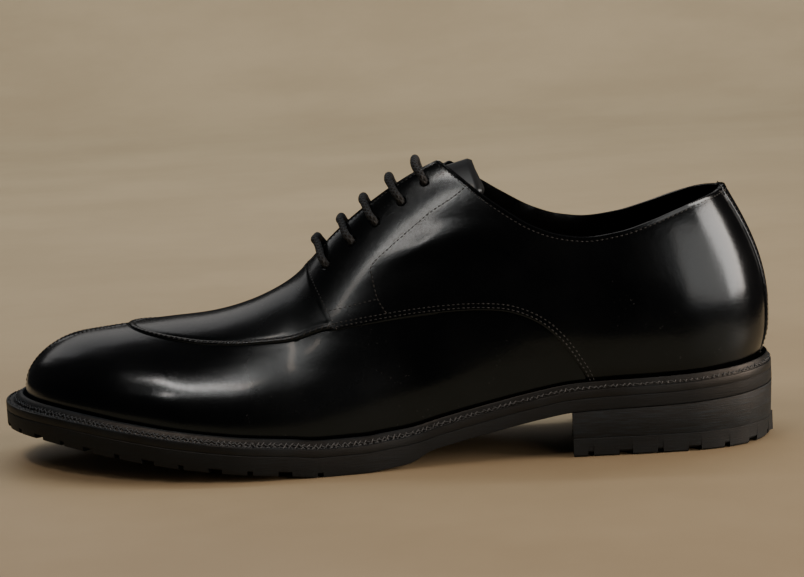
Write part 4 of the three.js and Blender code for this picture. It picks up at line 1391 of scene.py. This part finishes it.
def under_stops(side, low, high):
    """Stops of a run under one facing, between two eyelets."""
    points, ups = [], []
    for share in (0.12, 0.3, 0.5, 0.7, 0.88):
        along = EYELETS[low][0] + (EYELETS[high][0] - EYELETS[low][0]) * share
        out = EYELETS[low][1] + (EYELETS[high][1] - EYELETS[low][1]) * share
        turn = float(angle_of(along))
        place = np.array([turn if side == OUTER else 2 - turn])
        climb = climb_beside(place, np.array([EYELET_REACH * out + 0.6]))
        points.append(shell_point(place, climb, np.array([-3.1]))[0])
        ups.append(NORMAL_SIGN * last_normal(place, climb)[0])
    return points, ups


def make_lace(finish):
    """One lace: the lowest bar, then one end up by even bars and the other by odd ones."""
    bars = [bar_stops(row) for row in EYELETS]
    flipped = lambda run: (run[0][::-1], run[1][::-1])
    down = [
        flipped(under_stops(INNER, 2, 4)) if False else under_stops(OUTER, 2, 4),
    ]
    first_end = [flipped(under_stops(OUTER, 3, 4)), bars[3], under_stops(INNER, 1, 3), flipped(bars[1])]
    chain = [
        flipped(under_stops(OUTER, 3, 4)), bars[3], flipped(under_stops(INNER, 1, 3)), flipped(bars[1]),
        flipped(under_stops(OUTER, 0, 1)), bars[0], under_stops(INNER, 0, 2), flipped(bars[2]),
        under_stops(OUTER, 2, 4), bars[4],
    ]
    points = np.array([point for run in chain for point in run[0]])
    ups = np.array([up for run in chain for up in run[1]])
    path = smooth_path(np.concatenate([points, ups * 1e-4 + points], axis=1)[:, :3], 900)
    tree = KDTree(len(points))
    for i, point in enumerate(points):
        tree.insert(point, i)
    tree.balance()
    up = []
    for point in path:
        near = tree.find_n(point, 2)
        weights = [1 / (distance + 1e-3) for _, _, distance in near]
        up.append(sum(ups[i] * weight for (_, i, _), weight in zip(near, weights)) / sum(weights))
    up = unit(softened_line(np.array(up), 6))
    depth = distance_below(path)
    flat = smoothstep(-depth, 1.6, 2.6)
    half_height = LACE_DIAMETER / 2 * (1 - 0.5 * flat)
    half_width = LACE_DIAMETER / 2 * (1 + 0.12 * flat)
    corners, faces, walked = tube(path, up, half_width, half_height)
    made = piece("lace_cord", corners, faces, finish, [f"lace_bar_{i + 1}" for i in range(5)])
    add_tube_map(made, 14, len(path), walked)
    return made


def softened_line(values, passes):
    for _ in range(passes):
        values[1:-1] = (values[:-2] + 2 * values[1:-1] + values[2:]) / 4
    return values


throat = [np.array([row[0] for row in EYELETS])]
throat_turns = np.linspace(float(angle_of(0.38)), float(angle_of(0.62)), 120)
throat_grid = np.meshgrid(np.concatenate([throat_turns, 2 - throat_turns]), np.linspace(0.55, 1, 60), indexing="ij")
throat_points = last_point(throat_grid[0].ravel(), throat_grid[1].ravel())
throat_normals = NORMAL_SIGN * last_normal(throat_grid[0].ravel(), throat_grid[1].ravel())


def distance_below(points):
    """Height above the last, below zero under it, near the throat."""
    nearest = np.argmin(((points[:, None, :] - throat_points[None, :, :]) ** 2).sum(-1), axis=1)
    return ((points - throat_points[nearest]) * throat_normals[nearest]).sum(1)


def add_tube_map(made, sides, rings, walked):
    """A map round and along a tube: one turn across, and the length in cord diameters."""
    layer = made.data.uv_layers.new(name="run")
    for face in made.data.polygons:
        corners = [made.data.loops[i].vertex_index for i in face.loop_indices]
        around = [corner % sides for corner in corners]
        wraps = max(around) - min(around) > sides / 2
        for loop, vertex, at in zip(face.loop_indices, corners, around):
            u = (at + sides if wraps and at < sides / 2 else at) / sides
            layer.data[loop].uv = (u, walked[min(vertex // sides, rings - 1)] / LACE_DIAMETER * 1.1)


make_lace(cord)


# ---- Stitches ----

def stitch_tree():
    """Lays a short thread over each point, along its run and flat on the surface."""
    tree = bpy.data.node_groups.new("stitch row", "GeometryNodeTree")
    face = tree.interface
    face.new_socket(name="Points", in_out="INPUT", socket_type="NodeSocketGeometry")
    face.new_socket(name="Length", in_out="INPUT", socket_type="NodeSocketFloat")
    face.new_socket(name="Width", in_out="INPUT", socket_type="NodeSocketFloat")
    face.new_socket(name="Height", in_out="INPUT", socket_type="NodeSocketFloat")
    face.new_socket(name="Thread", in_out="INPUT", socket_type="NodeSocketMaterial")
    face.new_socket(name="Stitches", in_out="OUTPUT", socket_type="NodeSocketGeometry")
    nodes, links = tree.nodes, tree.links
    inputs, outputs = nodes.new("NodeGroupInput"), nodes.new("NodeGroupOutput")
    ball = nodes.new("GeometryNodeMeshUVSphere")
    ball.inputs["Segments"].default_value = 6
    ball.inputs["Rings"].default_value = 6
    ball.inputs["Radius"].default_value = 0.5
    size = nodes.new("ShaderNodeCombineXYZ")
    links.new(inputs.outputs["Width"], size.inputs[0])
    links.new(inputs.outputs["Height"], size.inputs[1])
    links.new(inputs.outputs["Length"], size.inputs[2])
    run, up = nodes.new("GeometryNodeInputNamedAttribute"), nodes.new("GeometryNodeInputNamedAttribute")
    for node, name in ((run, "run"), (up, "up")):
        node.data_type = "FLOAT_VECTOR"
        node.inputs["Name"].default_value = name
    first = nodes.new("FunctionNodeAlignRotationToVector")
    first.axis = "Z"
    links.new(run.outputs[0], first.inputs["Vector"])
    second = nodes.new("FunctionNodeAlignRotationToVector")
    second.axis = "Y"
    second.pivot_axis = "Z"
    links.new(first.outputs[0], second.inputs["Rotation"])
    links.new(up.outputs[0], second.inputs["Vector"])
    points = nodes.new("GeometryNodeMeshToPoints")
    links.new(inputs.outputs["Points"], points.inputs["Mesh"])
    laid = nodes.new("GeometryNodeInstanceOnPoints")
    links.new(points.outputs[0], laid.inputs["Points"])
    links.new(ball.outputs["Mesh"], laid.inputs["Instance"])
    links.new(second.outputs[0], laid.inputs["Rotation"])
    links.new(size.outputs[0], laid.inputs["Scale"])
    real = nodes.new("GeometryNodeRealizeInstances")
    links.new(laid.outputs[0], real.inputs[0])
    smooth = nodes.new("GeometryNodeSetShadeSmooth")
    links.new(real.outputs[0], smooth.inputs[0])
    coloured = nodes.new("GeometryNodeSetMaterial")
    links.new(smooth.outputs[0], coloured.inputs["Geometry"])
    links.new(inputs.outputs["Thread"], coloured.inputs["Material"])
    links.new(coloured.outputs[0], outputs.inputs[0])
    return tree


stitching = stitch_tree()


def sew(name, rows, length, width, height, finish):
    """Stitches at points given with the way each runs and the way up, in one piece."""
    places = np.concatenate([row[0] for row in rows])
    runs = np.concatenate([row[1] for row in rows])
    ups = np.concatenate([row[2] for row in rows])
    mesh = bpy.data.meshes.new(name + "_points")
    mesh.from_pydata(((places + ROW_SHIFT) * MM).tolist(), [], [])
    for label, values in (("run", runs), ("up", ups)):
        attribute = mesh.attributes.new(label, "FLOAT_VECTOR", "POINT")
        attribute.data.foreach_set("vector", np.asarray(values, np.float32).ravel())
    made = bpy.data.objects.new(name, mesh)
    bpy.context.scene.collection.objects.link(made)
    modifier = made.modifiers.new("stitches", "NODES")
    modifier.node_group = stitching
    sockets = {item.name: item.identifier for item in stitching.interface.items_tree if item.in_out == "INPUT"}
    for label, value in (("Length", length * MM), ("Width", width * MM), ("Height", height * MM), ("Thread", finish)):
        modifier[sockets[label]] = value
    graph = bpy.context.evaluated_depsgraph_get()
    plain = bpy.data.meshes.new_from_object(made.evaluated_get(graph))
    made.modifiers.clear()
    made.data = plain
    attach(made, "root")
    return made


def surface_height(place, climb):
    points = last_point(place, climb)
    return outer_heights(place, climb, points, rim_distances(points))


def sewn_row(curve, pitch, sink=0.0, slant=0.0, skip=0.0):
    """Stitch places along a curve on the upper, each lying a little in the leather."""
    curve = stepped(curve, pitch)
    path = last_point(curve[:, 0], curve[:, 1])
    way = unit(np.gradient(path, axis=0))
    normal = NORMAL_SIGN * last_normal(curve[:, 0], np.clip(curve[:, 1], 0.01, 0.99))
    aside = np.cross(normal, way)
    runs = unit(way * math.cos(slant) + aside * math.sin(slant))
    heights = surface_height(curve[:, 0], curve[:, 1])
    use = under_top(curve[:, 0], curve[:, 1]) > 0.002
    return (path + normal * (heights - sink)[:, None])[use], runs[use], normal[use]


def pixel_curve(side, points, count=120):
    """A line on the upper through places given as shares along and heights, in the side view."""
    target = smooth_path([(x_at(along), INSTEP_HEIGHT * height) for along, height in points], count)
    return kept(trace(side, target, [0, 2]))


STITCH_PITCH = 1.9
FACING_ROW = [(0.5579, 0.5254), (0.5481, 0.5287), (0.5335, 0.5362), (0.5144, 0.5478), (0.4959, 0.5574)]
rows_pale, rows_dark = [], []
for side in (OUTER, INNER):
    into_quarter = toward(lower_lines[side], lambda moved, points: inside(points[:, [0, 2]], quarter_plan))
    for reach in (1.1, 2.6):
        rows_pale.append(sewn_row(beside(lower_lines[side], reach * into_quarter), STITCH_PITCH, 0.05))
    into_front = toward(front_lines[side], lambda moved, points: inside(points[:, [0, 2]], quarter_plan))
    rows_pale.append(sewn_row(kept(beside(front_lines[side], 1.6 * into_front)), STITCH_PITCH, 0.05))
    rows_dark.append(sewn_row(stay_lines[side], STITCH_PITCH, 0.05))
    rows_pale.append(sewn_row(pixel_curve(side, FACING_ROW), STITCH_PITCH, 0.05))
    into_upper = toward(top_lines[side], lambda moved, points: under_top(moved[:, 0], moved[:, 1]) > 0)
    rows_pale.append(sewn_row(kept(beside(top_lines[side], 1.95 * into_upper)), STITCH_PITCH, 0.05))
    outward = toward(strip_lines[side], lambda moved, points: np.abs(points[:, 1]) > BACK_STRIP_WIDTH / 2)
    rows_dark.append(sewn_row(kept(beside(strip_lines[side], -1.2 * outward)), STITCH_PITCH, 0.05))

crest_other = np.array([2, 0]) + toe_crest * np.array([-1, 1])
for reach in (0.75,):
    rows_dark.append(sewn_row(beside(toe_drop, reach), STITCH_PITCH, 0.08))
    rows_dark.append(sewn_row(beside(toe_drop, -reach), STITCH_PITCH, 0.08))
sew("upper_stitches", rows_pale, 1.15, 0.52, 0.5, thread)
sew("dark_stitches", rows_dark, 1.25, 0.62, 0.5, dark_thread)

apron_rows = []
for side in (OUTER, INNER):
    into_plug = toward(plug_lines[side], lambda moved, points: inside(points[:, [0, 1]], plug_plan))
    lip = beside(plug_lines[side], 1.15 * into_plug)
    places, runs, ups = sewn_row(lip, 2.5, 0.12, 0.95 * into_plug * -1)
    clear = ~inside(places[:, [0, 2]], quarter_plan)
    apron_rows.append((places[clear], runs[clear], ups[clear]))
sew("apron_stitches", apron_rows, 2.1, 0.62, 0.5, thread)


def welt_rows(slant, shift, climb, shake):
    """Slanted stitches along the welt: at climb 0 on its margin, above that up the ridge's outer flank."""
    place = np.linspace(0, 2, 4001)
    turn, side = ring_place(place)
    reach, ridge = welt_room(place)
    slope = np.minimum(STORM_RIDGE_WIDTH, ridge / 3)
    inset = np.maximum(ridge - (2.05 - climb) * slope, 0.7) if climb > 0 else 0 * ridge + 0.95
    flat = outline_point(turn, side, inset)
    level = outsole_top(along_at(flat[:, 0])) + FIT * 0.3 + WELT_THICKNESS + climb * STORM_RIDGE_HEIGHT
    path = np.concatenate([flat, level[:, None]], axis=1)
    out = unit(outline_point(turn, side, 0.0) - outline_point(turn, side, 1.0))
    walked = np.concatenate([[0], np.cumsum(np.linalg.norm(np.diff(path, axis=0), axis=1))])
    count = int(walked[-1] / WELT_PITCH)
    at = (np.arange(count) + shift + shake.uniform(-0.2, 0.2, count)) * walked[-1] / count
    read = lambda values: np.stack([np.interp(at, walked, values[:, k]) for k in range(values.shape[1])], -1)
    places, way, outward = read(path), unit(read(np.gradient(path, axis=0))), read(out)
    up = unit(np.concatenate([outward * 0.75, np.full((count, 1), 0.66)], axis=1))
    slants = (slant + shake.uniform(-0.3, 0.3, count))[:, None]
    runs = unit(way * np.cos(slants) + np.cross(up, way) * np.sin(slants))
    return places + up * shake.uniform(-0.12, 0.1, count)[:, None], runs, up


WELT_PITCH = 2.2
shake = np.random.default_rng(11)
welt_stitch_rows = [
    welt_rows(0.8, 0.0, 0.36, shake), welt_rows(-0.5, 0.5, 0.3, shake),
    welt_rows(0.7, 0.25, 0.0, shake), welt_rows(-0.6, 0.75, 0.0, shake),
]
sew("welt_stitches", welt_stitch_rows, 2.5, 0.62, 0.6, welt_thread)


# ---- Floor and light ----

NEAR_FLOOR = ((-0.4, 0.34), (-0.23, 0.3))


def make_floor():
    """A pale seamless floor that rises softly into the backdrop. Only its part by the shoe shows in the polish."""
    made = Finish("pale floor")
    where = made.place()
    cloud = made.noise(made.place((1, 1.5, 1)), 6, 4, 0.5)
    fine = made.noise(where, 60, 3, 0.5)
    share = made.between(cloud * 0.8 + fine * 0.2, 0.3, 0.7)
    colour = made.blend(share, (0.235, 0.193, 0.126, 1), (0.265, 0.22, 0.145, 1))
    finish = made.surface(Base_Color=colour, Roughness=0.55, IOR=1.4)
    profile = [(-3.0, 0.0), (1.2, 0.0)]
    for step in range(1, 19):
        angle = math.radians(step * 5)
        profile.append((1.2 + 0.8 * math.sin(angle), 0.8 - 0.8 * math.cos(angle)))
    profile.append((2.0, 4.0))
    profile[1:1] = [(NEAR_FLOOR[1][0], 0.0), (NEAR_FLOOR[1][1], 0.0)]
    columns = [-4.0, NEAR_FLOOR[0][0], NEAR_FLOOR[0][1], 4.0]
    corners = [(x, y, z) for y, z in profile for x in columns]
    near, far = [], []
    for i in range(len(profile) - 1):
        for j in range(3):
            a = 4 * i + j
            (near if (i, j) == (1, 1) else far).append((a, a + 1, a + 5, a + 4))
    for name, faces in (("near_floor", near), ("far_floor", far)):
        mesh = bpy.data.meshes.new(name)
        mesh.from_pydata(corners, [], faces)
        mesh.shade_smooth()
        mesh.materials.append(finish)
        floor = bpy.data.objects.new(name, mesh)
        bpy.context.scene.collection.objects.link(floor)
        floor.visible_glossy = name == "near_floor"


def soft_light(name, place, aim, size, power, colour=(1, 1, 1), mirrored=True):
    """A soft box. One that isn't mirrored lights the matt surfaces alone."""
    data = bpy.data.lights.new(name, "AREA")
    data.shape = "RECTANGLE"
    data.size, data.size_y = size
    data.energy = power
    data.color = colour
    light = bpy.data.objects.new(name, data)
    bpy.context.scene.collection.objects.link(light)
    turned = (Vector(aim) - Vector(place)).to_track_quat("-Z", "Y")
    light.matrix_world = Matrix.Translation(place) @ turned.to_matrix().to_4x4()
    light.visible_camera = False
    light.visible_glossy = mirrored
    return light


def make_sky():
    world = bpy.data.worlds.new("studio")
    world.use_nodes = True
    backdrop = world.node_tree.nodes["Background"]
    backdrop.inputs["Color"].default_value = (1, 1, 1, 1)
    backdrop.inputs["Strength"].default_value = 0.02
    bpy.context.scene.world = world


def make_strip():
    """The long box over the toe's outer side, which draws the streak along the vamp."""
    strip = soft_light("toe strip", (-0.43, -0.42, 1.08), (-0.08, -0.035, 0.04), (0.62, 0.085), 4.6, WARM)
    toward_shoe = (Vector((-0.08, -0.035, 0.04)) - Vector((-0.43, -0.42, 1.08))).normalized()
    run = Vector((0.577, -0.816, -0.1))
    run = (run - toward_shoe * run.dot(toward_shoe)).normalized()
    back = -toward_shoe
    across = back.cross(run)
    turned = Matrix((run, across, back)).transposed().to_4x4()
    strip.matrix_world = Matrix.Translation((-0.42, -0.435, 1.08)) @ turned


WARM = (1, 0.78, 0.61)
make_floor()
make_sky()
soft_light("overhead", (0.0, 0.5, 1.35), (0.0, 0.05, 0.0), (1.8, 1.2), 12.5, (1, 0.98, 0.95), mirrored=False)
soft_light("backdrop light", (0.0, 0.7, 1.6), (0.0, 2.0, 0.6), (2.4, 0.6), 47, (1, 0.98, 0.95), mirrored=False)
make_strip()
soft_light("facing box", (-0.575, -0.61, 0.94), (0.01, -0.02, 0.09), (0.12, 0.16), 1.0, WARM)
soft_light("heel box", (1.2, -0.22, 0.4), (0.13, -0.03, 0.07), (0.7, 0.66), 22, WARM)
soft_light("heel glow", (0.86, -0.86, 0.32), (0.12, -0.03, 0.07), (0.84, 0.6), 5.0, WARM)
soft_light("back box", (-0.55, 1.2, 0.85), (-0.08, 0.0, 0.05), (1.3, 0.7), 2.0, (1, 0.94, 0.88))

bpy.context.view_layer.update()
